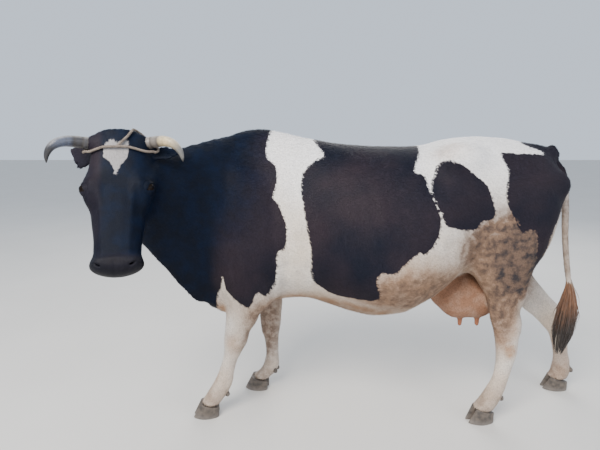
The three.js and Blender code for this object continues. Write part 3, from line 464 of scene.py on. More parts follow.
def udder():
    """The bag, its four quarters and a teat below each."""
    forms = [Ball("udder", [822, 0, 612], [165, 118, 112], 50)]
    for x, y, _ in QUARTERS:
        forms += [Ball("udder", at, [84, 60, 76], 36) for at in both([x, y, 572])]
    r, top, tip = TEAT["radius"], TEAT["top"], TEAT["tip"]
    for _, _, x0 in QUARTERS:
        for x, y, _ in both([x0, TEAT["y"], 0]):
            forms.append(limb("teat", [[top + 40, x, y, r + 8, r + 8, r + 8],
                                       [top - 8, x, y, r, r, r],
                                       [tip + 12, x, y, r - 2, r - 2, r - 2]], 16))
    return forms


def flesh_forms():
    slant = radians(14)
    blade = [[cos(slant), 0, sin(slant)], Y, [-sin(slant), 0, cos(slant)]]
    return [
        Column("trunk", [0, 0, 0], X, Y, TRUNK_STATIONS, [60, 45], 40),
        Column("neck", NECK_BASE, NECK_WAY, NECK[1], NECK_STATIONS, [120, 60], 90),
        *(Ball("trunk", at, [150, 88, 290], 80, blade) for at in both([-270, 158, 960])),
        limb("leg", FORE_LEFT, 50), limb("leg", FORE_RIGHT, 50),
        limb("leg", HIND_LEFT, 70), limb("leg", HIND_RIGHT, 70),
        *(Ball("trunk", at, [85, 62, 62], 90) for at in both([712, 192, 1288])),
        Ball("trunk", [-400, 50, 830], [105, 140, 235], 90),
        *(Ball("trunk", at, [65, 50, 60], 60) for at in both([1180, 120, 1165])),
        Ball("trunk", [1150, 0, 1300], [95, 48, 42], 60),
        Ball("leg", [1040, -158, 492], [24, 17, 44], 40),
        Ball("leg", [1452, 144, 425], [26, 17, 40], 45),
        *udder(),
        limb("tail", TAIL, 35),
        Head(),
    ]


BARE = flesh_forms()  # all of it but the ears
FLESH = [*BARE, ear("left"), ear("right")]

# ------------------------------------------------------------------ the skin's own relief
# [place, three radii, height]: raised, or sunk below nought. Mirrored to the other side.
SWELLS = [
    [[600, -262, 1205], [75, 70, 85], -13],  # hollow of the flank
    [[712, -222, 1292], [48, 40, 34], 7],  # hook bone
    [[1190, -128, 1168], [44, 40, 44], 7],  # pin bone
    [[1120, -60, 1290], [50, 30, 50], -7],  # beside the tail head
    [[880, -225, 1150], [90, 60, 120], 5],  # rump muscle
    [[700, -262, 800], [60, 60, 130], 9],  # fold from belly to stifle
    [[800, -250, 870], [26, 60, 150], -9],  # in front of the thigh
    [[1075, -215, 900], [22, 60, 170], -5],  # between the muscles of the thigh
    [[-330, -205, 1080], [26, 70, 200], -7],  # front edge of the shoulder blade
    [[-120, -215, 1010], [28, 70, 190], -7],  # behind the shoulder
    [[-205, -205, 820], [75, 60, 60], 9],  # muscle above the elbow
    [[-150, -190, 700], [36, 50, 34], 8],  # point of the elbow
    [[-395, -190, 860], [60, 60, 60], 9],  # point of the shoulder
    [[-225, -60, 1400], [90, 40, 30], 4],  # withers
    [[-60, -245, 760], [24, 60, 120], -5],  # behind the elbow
]
SWELL_ENDS = np.exp(-9)  # a swell is left out where there is less of it than this
BEHIND_FACE = -460  # forms of the body are left off the head, which is ahead of this
RIBS_AT, RIBS_REACH = [240, 960], [190, 170]  # on the side of the chest, [x, z]
RIB_STEP, RIB_DEPTH, RIB_SLANT = 62.0, 1.6, 0.22
VEIN = np.array([[660, -150, 540], [560, -168, 512], [450, -160, 506], [330, -172, 508],
                 [200, -150, 520], [90, -140, 545]], float)
VEIN_RISE, VEIN_HALF = 6.0, 11.0
FOLD_STEP, FOLD_DEPTH = 46.0, 1.7  # across the neck, on the inside of its bend
DEWLAP_STEP, DEWLAP_DEPTH = 58.0, 3.0


def relief(p):
    """How far the skin rises over the plain forms."""
    left = folded(p)
    body = p[:, 0] > BEHIND_FACE
    out = np.zeros(len(p))
    for at, radii, height in SWELLS:
        near = nearness(left, at, radii)
        out += height * near * (body & (near > SWELL_ENDS))
    x, y, z = left.T
    ribs = nearness(left[:, [0, 2]], RIBS_AT, RIBS_REACH) * (y < -60)
    out += RIB_DEPTH * ribs * np.sin((x + RIB_SLANT * (z - 900)) / RIB_STEP * tau)
    below = body & (z < 620) & (x > 40) & (x < 720)
    out[below] += VEIN_RISE * hump(off_line(left[below], VEIN), 0, VEIN_HALF)
    t, s, u = to_neck(p).T
    bend = hump(t, 400, 150) * (s < 0) * (np.abs(u) < 330) * (p[:, 0] < -330)
    out += FOLD_DEPTH * bend * np.sin((t + 0.35 * u) / FOLD_STEP * tau + 0.6 * np.sin(u / 90))
    loose = hump(u, -400, 110) * (t > 60) * (t < 640)
    out += DEWLAP_DEPTH * loose * np.sin((t * 0.9 - 0.5 * u) / DEWLAP_STEP * tau + np.sin(s / 40))
    return out


def skin(p):
    """Distance to the skin, which lies inside the flesh's outline by the depth of the coat."""
    d, kinds = evaluate(FLESH, p)
    near = np.abs(d) < DETAIL_REACH
    d[near] -= relief(p[near])
    return d + kinds @ DEPTH, kinds


# ------------------------------------------------------------------ meshing the skin
# Spans of the grid along X, Y and Z: from, to and the size of a cell.
GRID = [
    [(-1010, -520, 6), (-520, 1190, 12.5), (1190, 1560, 8)],
    [(-860, -350, 6), (-350, -84, 12.5), (-84, 84, 7.5), (84, 380, 12.5)],
    [(30, 430, 12), (430, 536, 8), (536, 880, 12.5), (880, 1450, 7.5)],
]
BLOCK, BATCH = 4, 200000
FINE_EYE, FINE_NOSTRIL, FINE_MOUTH = 40, 30, 13  # how far round them the mesh is finer


def grid_lines(spans):
    return np.concatenate([np.arange(a, b, cell) for a, b, cell in spans])


def sampled(lines):
    """The field on the grid, worked out only in the blocks that the surface may pass."""
    sizes = [len(line) for line in lines]
    value = np.full(sizes, np.nan, np.float32)
    starts = [np.arange(0, n, BLOCK) for n in sizes]
    corners = np.stack(np.meshgrid(*starts, indexing="ij"), -1).reshape(-1, 3)
    ends = np.minimum(corners + BLOCK, sizes)
    low = np.stack([lines[d][corners[:, d]] for d in range(3)], 1)
    high = np.stack([lines[d][ends[:, d] - 1] for d in range(3)], 1)
    centre, half = (low + high) / 2, np.linalg.norm(high - low, axis=1) / 2
    d = evaluate(FLESH, centre)[0]
    for i in np.flatnonzero(np.abs(d) > half * 1.6 + 25):
        a, b = corners[i], ends[i]
        value[a[0]:b[0], a[1]:b[1], a[2]:b[2]] = d[i]
    todo = np.argwhere(np.isnan(value))
    points = np.stack([lines[a][todo[:, a]] for a in range(3)], 1)
    for i in range(0, len(points), BATCH):
        value[tuple(todo[i:i + BATCH].T)] = skin(points[i:i + BATCH])[0]
    return value


def surface_nets(lines):
    """A closed mesh of quads with one vertex to each cell that the surface passes."""
    value = sampled(lines)
    inside = value < 0
    n = value.shape
    count = sum(inside[i:n[0] - 1 + i, j:n[1] - 1 + j, k:n[2] - 1 + k].astype(np.int8)
                for i in (0, 1) for j in (0, 1) for k in (0, 1))
    active = (count > 0) & (count < 8)
    index = np.full(active.shape, -1)
    index[active] = np.arange(active.sum())
    cell = np.argwhere(active)
    total, times = np.zeros((len(cell), 3)), np.zeros(len(cell))
    for a in ((i, j, k) for i in (0, 1) for j in (0, 1) for k in (0, 1)):
        for axis in range(3):
            if a[axis]:
                continue
            b = list(a)
            b[axis] = 1
            va, vb = value[tuple((cell + a).T)], value[tuple((cell + b).T)]
            cross = (va < 0) != (vb < 0)
            t = np.where(cross, va / np.where(cross, va - vb, 1), 0)
            at = np.tile(np.array(a, float), (len(cell), 1))
            at[:, axis] += t
            total[cross] += at[cross]
            times[cross] += 1
    at = total / times[:, None]
    points = np.stack([
        lines[d][cell[:, d]] + at[:, d] * (lines[d][cell[:, d] + 1] - lines[d][cell[:, d]])
        for d in range(3)], 1)
    quads = []
    for axis in range(3):
        o1, o2 = np.eye(3, dtype=int)[[(axis + 1) % 3, (axis + 2) % 3]]
        here, there = [slice(None)] * 3, [slice(None)] * 3
        here[axis], there[axis] = slice(0, -1), slice(1, None)
        first = inside[tuple(here)]
        e = np.argwhere(first != inside[tuple(there)])
        q = np.stack([index[tuple((e - o1 - o2).T)], index[tuple((e - o2).T)],
                      index[tuple(e.T)], index[tuple((e - o1).T)]], 1)
        flip = ~first[tuple(e.T)]
        q[flip] = q[flip][:, ::-1]
        quads.append(q)
    return points, np.concatenate(quads)


def gradient(field, p, e=0.5):
    return np.stack([(field(p + d)[0] - field(p - d)[0]) / (2 * e) for d in np.eye(3) * e], 1)


def settle(field, points, rounds, level=0.0, longest=5.0):
    """Moves points along the gradient onto the surface at that level."""
    p = points.copy()
    for _ in range(rounds):
        g = gradient(field, p)
        step = (field(p)[0] - level) / np.maximum((g * g).sum(1), 0.05)
        move = g * step[:, None]
        far = np.linalg.norm(move, axis=1, keepdims=True)
        p -= move * np.minimum(1, longest / np.maximum(far, 1e-9))
    return p


def placed(name, data):
    thing = bpy.data.objects.new(name, data)
    bpy.context.scene.collection.objects.link(thing)
    return thing


def mesh_of(name, points, faces):
    """A mesh object from points in body millimetres."""
    mesh = bpy.data.meshes.new(name)
    faces = np.asarray(faces, np.int32)
    side = faces.shape[1]
    mesh.vertices.add(len(points))
    mesh.vertices.foreach_set("co", metres(points).astype(np.float32).ravel())
    mesh.loops.add(faces.size)
    mesh.loops.foreach_set("vertex_index", faces.ravel())
    mesh.polygons.add(len(faces))
    mesh.polygons.foreach_set("loop_start", np.arange(0, faces.size, side, dtype=np.int32))
    mesh.polygons.foreach_set("use_smooth", np.ones(len(faces), bool))
    mesh.update(calc_edges=True)
    return placed(name, mesh)


def places(thing):
    """A mesh's points in body millimetres."""
    flat = np.empty(len(thing.data.vertices) * 3, np.float32)
    thing.data.vertices.foreach_get("co", flat)
    return (flat.reshape(-1, 3) - OFFSET) * 1000


def refine(thing, near, rounds):
    """Splits the faces whose middle is near the fine details, and settles the new points."""
    for _ in range(rounds):
        bm = bmesh.new()
        bm.from_mesh(thing.data)
        bm.verts.ensure_lookup_table()
        close = near(places(thing))
        edges = [e for e in bm.edges if close[e.verts[0].index] and close[e.verts[1].index]]
        bmesh.ops.subdivide_edges(bm, edges=edges, cuts=1, use_grid_fill=True)
        bm.to_mesh(thing.data)
        bm.free()
        p = places(thing)
        close = near(p)
        p[close] = settle(skin, p[close], 3, longest=2.0)
        thing.data.vertices.foreach_set("co", metres(p).astype(np.float32).ravel())
    thing.data.update()


def near_eyes(p):
    return np.linalg.norm(in_head(p) - EYE_AT, axis=1) < FINE_EYE


def near_mouth(p):
    q = in_head(p)
    at_nostril = np.linalg.norm(q - NOSTRIL["at"], axis=1) < FINE_NOSTRIL
    return (off_line(q, MOUTH) < FINE_MOUTH) | at_nostril


def build_skin():
    points, quads = surface_nets([grid_lines(spans) for spans in GRID])
    thing = mesh_of("skin", settle(skin, points, 3), quads)
    refine(thing, near_mouth, 1)
    refine(thing, near_eyes, 2)
    return thing


# ------------------------------------------------------------------ markings, with painted light and shade
# Outlines of the black patches as seen from each side, [x, z]; the two sides meet at the back.
BLACK_LEFT = [
    [[-146, 1500], [-146, 1400], [-160, 1307], [-111, 1250], [-107, 1177], [-124, 1117],
     [-98, 1091], [-66, 1005], [-66, 905], [-105, 866], [-112, 752], [-157, 667], [-197, 682],
     [-235, 603], [-265, 612], [-340, 690], [-351, 764], [-368, 700], [-394, 646],
     [-402, 600], [-410, 560], [-436, 520], [-560, 440], [-1150, 600], [-1150, 1500],
     [-700, 1600]],  # head, neck and shoulder
    [[61, 1450], [61, 1370], [108, 1303], [67, 1280], [18, 1234], [4, 1170], [26, 1008],
     [49, 880], [45, 808], [64, 737], [163, 679], [296, 672], [349, 687], [325, 773],
     [344, 810], [399, 811], [448, 855], [502, 901], [529, 892], [577, 940], [599, 1019],
     [583, 1090], [557, 1151], [539, 1216], [499, 1237], [530, 1295], [552, 1342],
     [555, 1450]],  # saddle
    [[613, 1272], [668, 1282], [738, 1235], [797, 1191], [830, 1131], [853, 1047],
     [795, 1014], [759, 984], [636, 1005], [604, 1065], [565, 1151], [586, 1221]],  # flank
    [[889, 1305], [921, 1313], [1105, 1307], [1120, 1320], [1060, 1338], [1026, 1352],
     [1050, 1364], [1130, 1400], [1330, 1400], [1330, 1160], [1228, 1130], [1210, 1070],
     [1150, 985], [1125, 900], [1104, 790], [1082, 722], [1076, 800], [1062, 890],
     [1047, 971], [977, 972], [936, 1048], [908, 1083], [897, 1156], [910, 1237]],  # rump
]
BLACK_RIGHT = [
    [[-146, 1500], [-146, 1400], [-120, 1310], [-60, 1235], [-40, 1120], [-92, 1020],
     [-58, 900], [-118, 800], [-128, 710], [-112, 640], [-140, 566], [-185, 590],
     [-225, 660], [-300, 640], [-400, 560], [-436, 520], [-560, 440], [-1150, 600],
     [-1150, 1500], [-700, 1600]],
    [[61, 1450], [61, 1370], [120, 1290], [182, 1208], [150, 1120], [232, 1010], [330, 962],
     [440, 1004], [522, 960], [602, 1040], [560, 1150], [470, 1222], [530, 1295],
     [552, 1342], [555, 1450]],
    [[248, 760], [330, 802], [424, 770], [432, 692], [330, 640], [250, 680]],
    [[700, 1240], [790, 1252], [880, 1188], [962, 1222], [1050, 1180], [1150, 1200],
     [1222, 1120], [1190, 1000], [1090, 930], [962, 962], [858, 1020], [760, 1082],
     [690, 1150]],
    [[1030, 1352], [1085, 1362], [1150, 1340], [1160, 1322], [1090, 1334]],
]
TAIL_WHITE_BELOW = 1165
TOP_LIGHT_ABOVE, TOP_LIGHT_OVER = 950, 330  # where painted top light begins on the white, and over what height
CHEEK_FROM, CHEEK_OVER = -66, 22  # where the painted blue sheen of the face begins, across from its right
SHOULDER_FROM, SHOULDER_OVER = -80, 260  # where the painted blue sheen of the shoulder begins, going ahead
SHOULDER_ABOVE, SHOULDER_HEIGHT = 800, 300
# The star on the forehead: along the face, and to the cow's left.
STAR = [[41, -40], [25, -18], [36, 4], [24, 36], [68, 43], [96, 38], [126, 16], [165, -3],
        [124, -13], [98, -38], [64, -45]]


def spline(a, b, c, d, cuts):
    """Points on a smooth curve from each b to its c; a and d come before and after."""
    t = (np.arange(cuts) / cuts)[None, :, None]
    curve = (2 * b + (c - a) * t + (2 * a - 5 * b + 4 * c - d) * t**2
             + (3 * b - a - 3 * c + d) * t**3) / 2
    return curve.reshape(-1, b.shape[-1])


def rounded(points, cuts=6):
    """A smooth closed curve through the points, as many short sides."""
    p = np.array(points, float)
    return spline(*(np.roll(p, k, 0)[:, None] for k in (1, 0, -1, -2)), cuts)


def to_outline(q, outline):
    """Signed distance of flat points to a closed outline, negative inside."""
    line = rounded(outline)
    line = np.concatenate([line, line[:1]])
    crossings = np.zeros(len(q), int)
    for a, b in zip(line[:-1], line[1:]):
        level = (a[1] > q[:, 1]) != (b[1] > q[:, 1])
        rise = (b - a)[1] or 1e-9
        crossings += level & (q[:, 0] < a[0] + (q[:, 1] - a[1]) / rise * (b - a)[0])
    return off_line(q, line) * np.where(crossings % 2, -1, 1)


def step(x, low, high):
    t = np.clip((x - low) / (high - low), 0, 1)
    return t * t * (3 - 2 * t)


def blackness(p, kinds):
    """Signed distance in metres to the edge of the black, negative inside it."""
    flat = p[:, [0, 2]]
    left = np.min([to_outline(flat, line) for line in BLACK_LEFT], axis=0)
    right = np.min([to_outline(flat, line) for line in BLACK_RIGHT], axis=0)
    rightness = step(p[:, 1], -24, 24)
    d = left * (1 - rightness) + right * rightness
    head = share_of(kinds, "head", "ear") > 0.3
    d = np.where(head, -60, d)
    q = to_head(p)
    star = np.where(head & (q[:, 2] > -70), to_outline(q[:, :2], STAR), 80)
    d = np.maximum(d, -star)
    white_parts = ((share_of(kinds, "tail") > 0.4) & (p[:, 2] < TAIL_WHITE_BELOW)
                   | (share_of(kinds, "udder", "teat") > 0.4))
    d = np.where(white_parts, np.maximum(d, 20), d)
    return d / 1000


# Stains, with some painted shade among them: [place, radii, strength], on the cow's left half; y
# above nought is its right half.
TAN_AND_SHADE_BLOBS = [[[150, -150, 590], [360, 230, 62], 0.95], [[870, -240, 740], [120, 120, 130], 0.95],
       [[1004, -202, 383], [30, 50, 38], 0.95], [[850, -200, 640], [90, 110, 130], 1.0],
       # the first blob on the next line, on the lower flank and belly, is partly painted shade
       [[480, -260, 730], [250, 170, 120], 0.95], [[930, -170, 180], [120, 120, 120], 0.25],
       [[-420, -120, 180], [140, 120, 160], 0.3], [[1440, -140, 200], [120, 120, 190], 0.5],
       [[-390, -60, 570], [50, 120, 70], 0.9], [[-320, -150, 400], [40, 60, 60], 0.5],
       [[-430, -120, 240], [40, 60, 60], 0.6], [[960, -190, 500], [70, 80, 120], 0.75],
       [[650, -200, 1324], [70, 70, 45], 0.28], [[860, -200, 540], [110, 110, 130], 0.85],
       [[925, -200, 483], [38, 60, 34], 1.0]]
# soiling, with painted shade among it: the blob on the far foreleg is painted shade, and the one on
# the lower flank and belly partly so
SOIL_AND_SHADE_BLOBS = [[[890, -250, 890], [180, 150, 170], 1.2], [[770, -280, 900], [90, 130, 100], 0.9],
        [[985, -220, 860], [115, 150, 200], 2.2], [[950, -200, 650], [80, 120, 150], 1.15],
        # the second blob on the next line, on the lower flank and belly, is partly painted shade
        [[870, -240, 730], [120, 130, 110], 0.9], [[500, -260, 720], [250, 170, 115], 0.95],
        [[480, -290, 840], [170, 90, 70], 0.4], [[250, -150, 600], [260, 180, 50], 0.5],
        [[930, -170, 90], [130, 130, 70], 0.6], [[-440, -120, 90], [140, 130, 70], 0.5],
        [[-230, 140, 90], [140, 130, 70], 0.6], [[1440, 140, 90], [140, 130, 80], 0.6],
        [[1180, -60, 1000], [90, 130, 200], 0.5], [[1120, 120, 700], [170, 100, 230], 0.8],
        # the first blob on the next line, on the far foreleg, is painted shade
        [[-190, 140, 430], [100, 90, 300], 0.9], [[1320, 0, 900], [90, 90, 260], 0.7],
        [[935, -200, 560], [70, 110, 150], 0.95]]


BLOB_FULL = 1.6  # above 1, so that a blob has an even middle


def stain_and_shade(p, blobs):
    """How much stain, and painted shade where a blob stands for it, there is; each blob is full in
    its middle and fades outwards.
    """
    out = np.zeros(len(p))
    for at, radii, strength in blobs:
        near = nearness(folded(p, 1 if at[1] > 0 else -1), at, radii)
        out = np.maximum(out, strength * np.minimum(BLOB_FULL * near, 1))
    return out


def painted_blue_sheen(p, kinds):
    """How much painted blue sheen the black gets: on head and neck, less so on shoulder and right
    cheek.
    """
    across = (p - POLL) @ HEAD[1]
    cheek = np.clip((across - CHEEK_FROM) / CHEEK_OVER, 0.1, 1)
    shoulder = (np.clip((SHOULDER_FROM - p[:, 0]) / SHOULDER_OVER, 0, 0.7)
                * np.clip((p[:, 2] - SHOULDER_ABOVE) / SHOULDER_HEIGHT, 0, 1))
    return (share_of(kinds, "head", "ear") * cheek + share_of(kinds, "neck")
            + share_of(kinds, "trunk") * shoulder)


def lid_rim_highlight(p):
    """Painted highlight on the rim of the eyelids: how near places are to their bare margin; the
    left one is darker.
    """
    o, c, w = at_eye(in_head(p))
    ball = np.sqrt(o * o + c * c + w * w)
    near = (o > 0) & (ball < EYE_RADIUS + 9)
    lit = np.where((p - POLL) @ HEAD[1] < 0, 1, 0.35)
    return hump(past_slit(c, w), 0, 2.6) * near * lit


def traits(p, kinds):
    """What the coat's colours need to know about places on the skin."""
    return {
        "black": blackness(p, kinds),
        # tan stains, on the lower flank partly painted shade
        "tan_and_shade": stain_and_shade(p, TAN_AND_SHADE_BLOBS),
        # soiling, on the far foreleg and the lower flank painted shade
        "soil_and_shade": stain_and_shade(p, SOIL_AND_SHADE_BLOBS),
        # painted top light: the white lighter and bluer towards the top
        "top_light": np.clip((p[:, 2] - TOP_LIGHT_ABOVE) / TOP_LIGHT_OVER, 0, 1),
        # painted blue sheen on the black
        "blue_sheen": painted_blue_sheen(p, kinds),
        # painted shade on the white of the head
        "star": share_of(kinds, "head"),
        "muzzle": share_of(kinds, "muzzle"),
        "udder": share_of(kinds, "udder", "teat"),
        "teat": share_of(kinds, "teat"),
        # painted highlight on the rim of the eyelids
        "lid": lid_rim_highlight(p),
    }


def give(thing, values):
    """Stores numbers at the points of a mesh."""
    for name, numbers in values.items():
        layer = thing.data.attributes.new(name, "FLOAT", "POINT")
        layer.data.foreach_set("value", np.asarray(numbers, np.float32))


# ------------------------------------------------------------------ materials
class Paint:
    """A node material put together from sockets."""

    def __init__(self, name):
        self.material = bpy.data.materials.new(name)
        self.material.use_nodes = True
        self.tree = self.material.node_tree
        self.shader = self.tree.nodes["Principled BSDF"]
        self.object = self.tree.nodes.new("ShaderNodeTexCoord").outputs["Object"]

    def put(self, socket, value):
        if isinstance(value, bpy.types.NodeSocket):
            self.tree.links.new(value, socket)
        else:
            socket.default_value = value

    def node(self, kind, inputs, **settings):
        made = self.tree.nodes.new("ShaderNode" + kind)
        for key, value in settings.items():
            setattr(made, key, value)
        for key, value in inputs.items():
            self.put(made.inputs[key], value)
        return made

    def math(self, operation, a, b=0.0):
        return self.node("Math", {0: a, 1: b}, operation=operation).outputs[0]

    def plus(self, a, b):
        return self.math("ADD", a, b)

    def times(self, a, b):
        return self.math("MULTIPLY", a, b)

    def mix(self, share, a, b, blend="MIX"):
        made = self.node("Mix", {0: share}, data_type="RGBA", blend_type=blend)
        for socket, value in ((made.inputs[6], a), (made.inputs[7], b)):
            self.put(socket, value if isinstance(value, bpy.types.NodeSocket) else (*value, 1.0))
        return made.outputs[2]

    def at(self, name):
        return self.node("Attribute", {}, attribute_name=name).outputs["Fac"]

    def noise(self, scale, detail, stretch=(1, 1, 1)):
        where = self.node("Mapping", {"Vector": self.object, "Scale": stretch}).outputs[0]
        inputs = {"Vector": where, "Scale": scale, "Detail": detail}
        return self.node("TexNoise", inputs).outputs["Fac"]

    def jitter(self, scale, detail, reach):
        """Noise about nought."""
        return self.times(self.math("SUBTRACT", self.noise(scale, detail), 0.5), reach)

    def shaded(self, color, grey):
        """A colour made lighter or darker by a number."""
        shade = self.node("CombineColor", {0: grey, 1: grey, 2: grey}).outputs[0]
        return self.mix(1.0, color, shade, "MULTIPLY")

    def ramp(self, value, low, high, to_low=0.0, to_high=1.0):
        inputs = {0: value, 1: low, 2: high, 3: to_low, 4: to_high}
        return self.node("MapRange", inputs, clamp=True).outputs[0]

    def finish(self, color, roughness, bump=None, height=0.001, **constants):
        self.put(self.shader.inputs["Base Color"], color)
        self.put(self.shader.inputs["Roughness"], roughness)
        if bump is not None:
            made = self.node("Bump", {"Height": bump, "Distance": height, "Strength": 1.0})
            self.put(self.shader.inputs["Normal"], made.outputs[0])
        for key, value in constants.items():
            self.shader.inputs[key.replace("_", " ")].default_value = value
        return self.material


WHITE, CREAM, GREY = (0.83, 0.78, 0.72), (0.72, 0.62, 0.51), (0.47, 0.43, 0.40)
# painted shade on the white star of the head: the second colour on the next line
# painted top light on the white: the first colour on the next line
TOP_LIGHT_WHITE, STAR_SHADE_GREY = (0.95, 0.94, 0.95), (0.27, 0.255, 0.26)
# the soiled and mud colours also paint shade on the far foreleg and the lower flank, the tan one on
# the lower flank
TAN_AND_SHADE_HAIR, SOILED_AND_SHADED, MUD_AND_SHADE = (0.46, 0.255, 0.13), (0.255, 0.160, 0.108), (0.045, 0.038, 0.040)
JET, BROWN_BLACK = (0.0075, 0.0090, 0.018), (0.024, 0.017, 0.024)
# both are mixed for the painted blue sheen of the black
INK, SHEEN_BLUE_BLACK = (0.0022, 0.0036, 0.009), (0.0015, 0.0068, 0.023)
# the last colour on the next line is a painted highlight on the rim of the eyelids
MUZZLE, MUZZLE_LIT, LID_RIM_HIGHLIGHT = (0.0045, 0.0045, 0.007), (0.011, 0.0105, 0.013), (0.26, 0.225, 0.20)
IRIS, IRIS_LIT = (0.004, 0.003, 0.003), (0.011, 0.007, 0.005)
EYE_WHITE, PUPIL = (0.014, 0.011, 0.010), (0.003, 0.003, 0.005)
# the first colour on the next line is a painted highlight along the upper side of a horn
HORN_TOP_HIGHLIGHT, HORN_POINT = (0.52, 0.50, 0.47), (0.03, 0.028, 0.028)
# the first colour on the next line is painted shade in the grooves between a horn's rings
HORN_GROOVE_SHADE, HORN_GRAIN = (0.05, 0.042, 0.036), (0.07, 0.06, 0.05)
CLAW_DARK, CLAW_LIT, DUST = (0.055, 0.046, 0.040), (0.13, 0.105, 0.085), (0.20, 0.175, 0.155)
ROPE_DARK, ROPE_LIT, ROPE_FIBRE = (0.15, 0.12, 0.10), (0.25, 0.205, 0.17), (0.09, 0.075, 0.06)
SWITCH_ENDS, RUST = (0.022, 0.013, 0.009), (0.20, 0.088, 0.040)
FAWN, PALE_LOCK = (0.23, 0.155, 0.10), (0.50, 0.44, 0.36)
EDGE_WIDTH = 0.0012  # metres over which black turns to white
UDDER, UDDER_PALE, TEAT_SKIN = (0.31, 0.16, 0.098), (0.40, 0.245, 0.17), (0.37, 0.15, 0.085)


def coat_paint(name, is_skin):
    """The colours of skin and coat alike."""
    p = Paint(name)
    large, middle, fine, clumps = p.noise(3.2, 4), p.noise(17, 4), p.noise(150, 3), p.noise(34, 5)
    white = p.mix(p.ramp(large, 0.42, 0.62, 0, 0.8), WHITE, CREAM)
    white = p.mix(p.ramp(middle, 0.5, 0.75, 0, 0.4), white, GREY)
    # painted top light: the white lighter and bluer towards the top
    white = p.mix(p.times(p.at("top_light"), 0.85), white, TOP_LIGHT_WHITE)
    # tan stains, on the lower flank partly painted shade
    patchy = p.ramp(middle, 0.35, 0.6, 0.65, 1.0)
    white = p.mix(p.times(p.at("tan_and_shade"), patchy), white, TAN_AND_SHADE_HAIR)
    # soiling, which on the far foreleg and the lower flank is painted shade; where it is heavy,
    # dark mud clumps, there too partly painted shade
    soil_and_shade = p.times(p.at("soil_and_shade"), p.ramp(clumps, 0.30, 0.56, 0.7, 1.0))
    white = p.mix(p.math("MINIMUM", soil_and_shade, 1.0), white, SOILED_AND_SHADED)
    mud_and_shade = p.plus(p.ramp(soil_and_shade, 0.95, 1.5, 0, 0.42), p.ramp(clumps, 0.43, 0.66, 0, 0.58))
    white = p.mix(p.times(p.ramp(soil_and_shade, 0.45, 1.2), mud_and_shade), white, MUD_AND_SHADE)
    # painted shade: the white star of the head greyed
    white = p.mix(p.ramp(p.at("star"), 0, 0.5, 0, 0.85), white, STAR_SHADE_GREY)
    black = p.mix(p.ramp(large, 0.36, 0.60), JET, BROWN_BLACK)
    # painted blue sheen on the black of head, neck and shoulder
    blue_sheen = p.mix(p.ramp(middle, 0.40, 0.66, 0.3, 1.0), INK, SHEEN_BLUE_BLACK)
    black = p.mix(p.at("blue_sheen"), black, blue_sheen)
    ragged = p.plus(p.jitter(95, 4, 0.011), p.jitter(24, 2, 0.014))
    spread = p.ramp(p.at("soil_and_shade"), 0.6, 1.5, 1.0, 3.0)
    signed = p.plus(p.at("black"), p.times(ragged, spread))
    if not is_skin:
        signed = p.plus(signed, p.times(p.at("shade"), EDGE_WIDTH))
    color = p.mix(p.ramp(signed, -EDGE_WIDTH, EDGE_WIDTH), black, white)
    udder = p.mix(p.ramp(middle, 0.45, 0.7), UDDER, UDDER_PALE)
    udder = p.mix(p.at("teat"), udder, TEAT_SKIN)
    color = p.mix(p.ramp(p.at("udder"), 0.35, 0.75), color, udder)
    nose = p.mix(p.ramp(middle, 0.45, 0.6), MUZZLE, MUZZLE_LIT)
    color = p.mix(p.ramp(p.at("muzzle"), 0.3, 0.95), color, nose)
    # painted highlight on the rim of the eyelids
    color = p.mix(p.ramp(p.at("lid"), 0.3, 0.8), color, LID_RIM_HIGHLIGHT)
    if is_skin:
        color = p.mix(p.ramp(fine, 0.35, 0.7, 0.0, 0.35), color, (0, 0, 0))
        moist = p.ramp(p.at("muzzle"), 0.5, 0.8, 0.62, 0.45)
        return p.finish(color, moist, p.noise(420, 3), 0.0012, Specular_IOR_Level=0.12)
    # painted shade and light along each tuft: darker at its root, lighter at its tip
    painted_along_tuft = p.plus(p.ramp(p.at("tip"), 0, 1, 0.86, 1.10), p.times(p.at("shade"), 0.10))
    return p.finish(p.shaded(color, painted_along_tuft), 0.55, Specular_IOR_Level=0.14)


# ------------------------------------------------------------------ the coat
def triangles_of(thing):
    """Triangles of a mesh as corner indices, with their areas in square metres."""
    thing.data.calc_loop_triangles()
    tris = np.empty(len(thing.data.loop_triangles) * 3, np.int32)
    thing.data.loop_triangles.foreach_get("vertices", tris)
    tris = tris.reshape(-1, 3)
    p = places(thing) / 1000
    cross = np.cross(p[tris[:, 1]] - p[tris[:, 0]], p[tris[:, 2]] - p[tris[:, 0]])
    return tris, np.linalg.norm(cross, axis=1) / 2


def vertex_normals(thing):
    flat = np.empty(len(thing.data.vertices) * 3, np.float32)
    thing.data.vertex_normals.foreach_get("vector", flat)
    return flat.reshape(-1, 3)


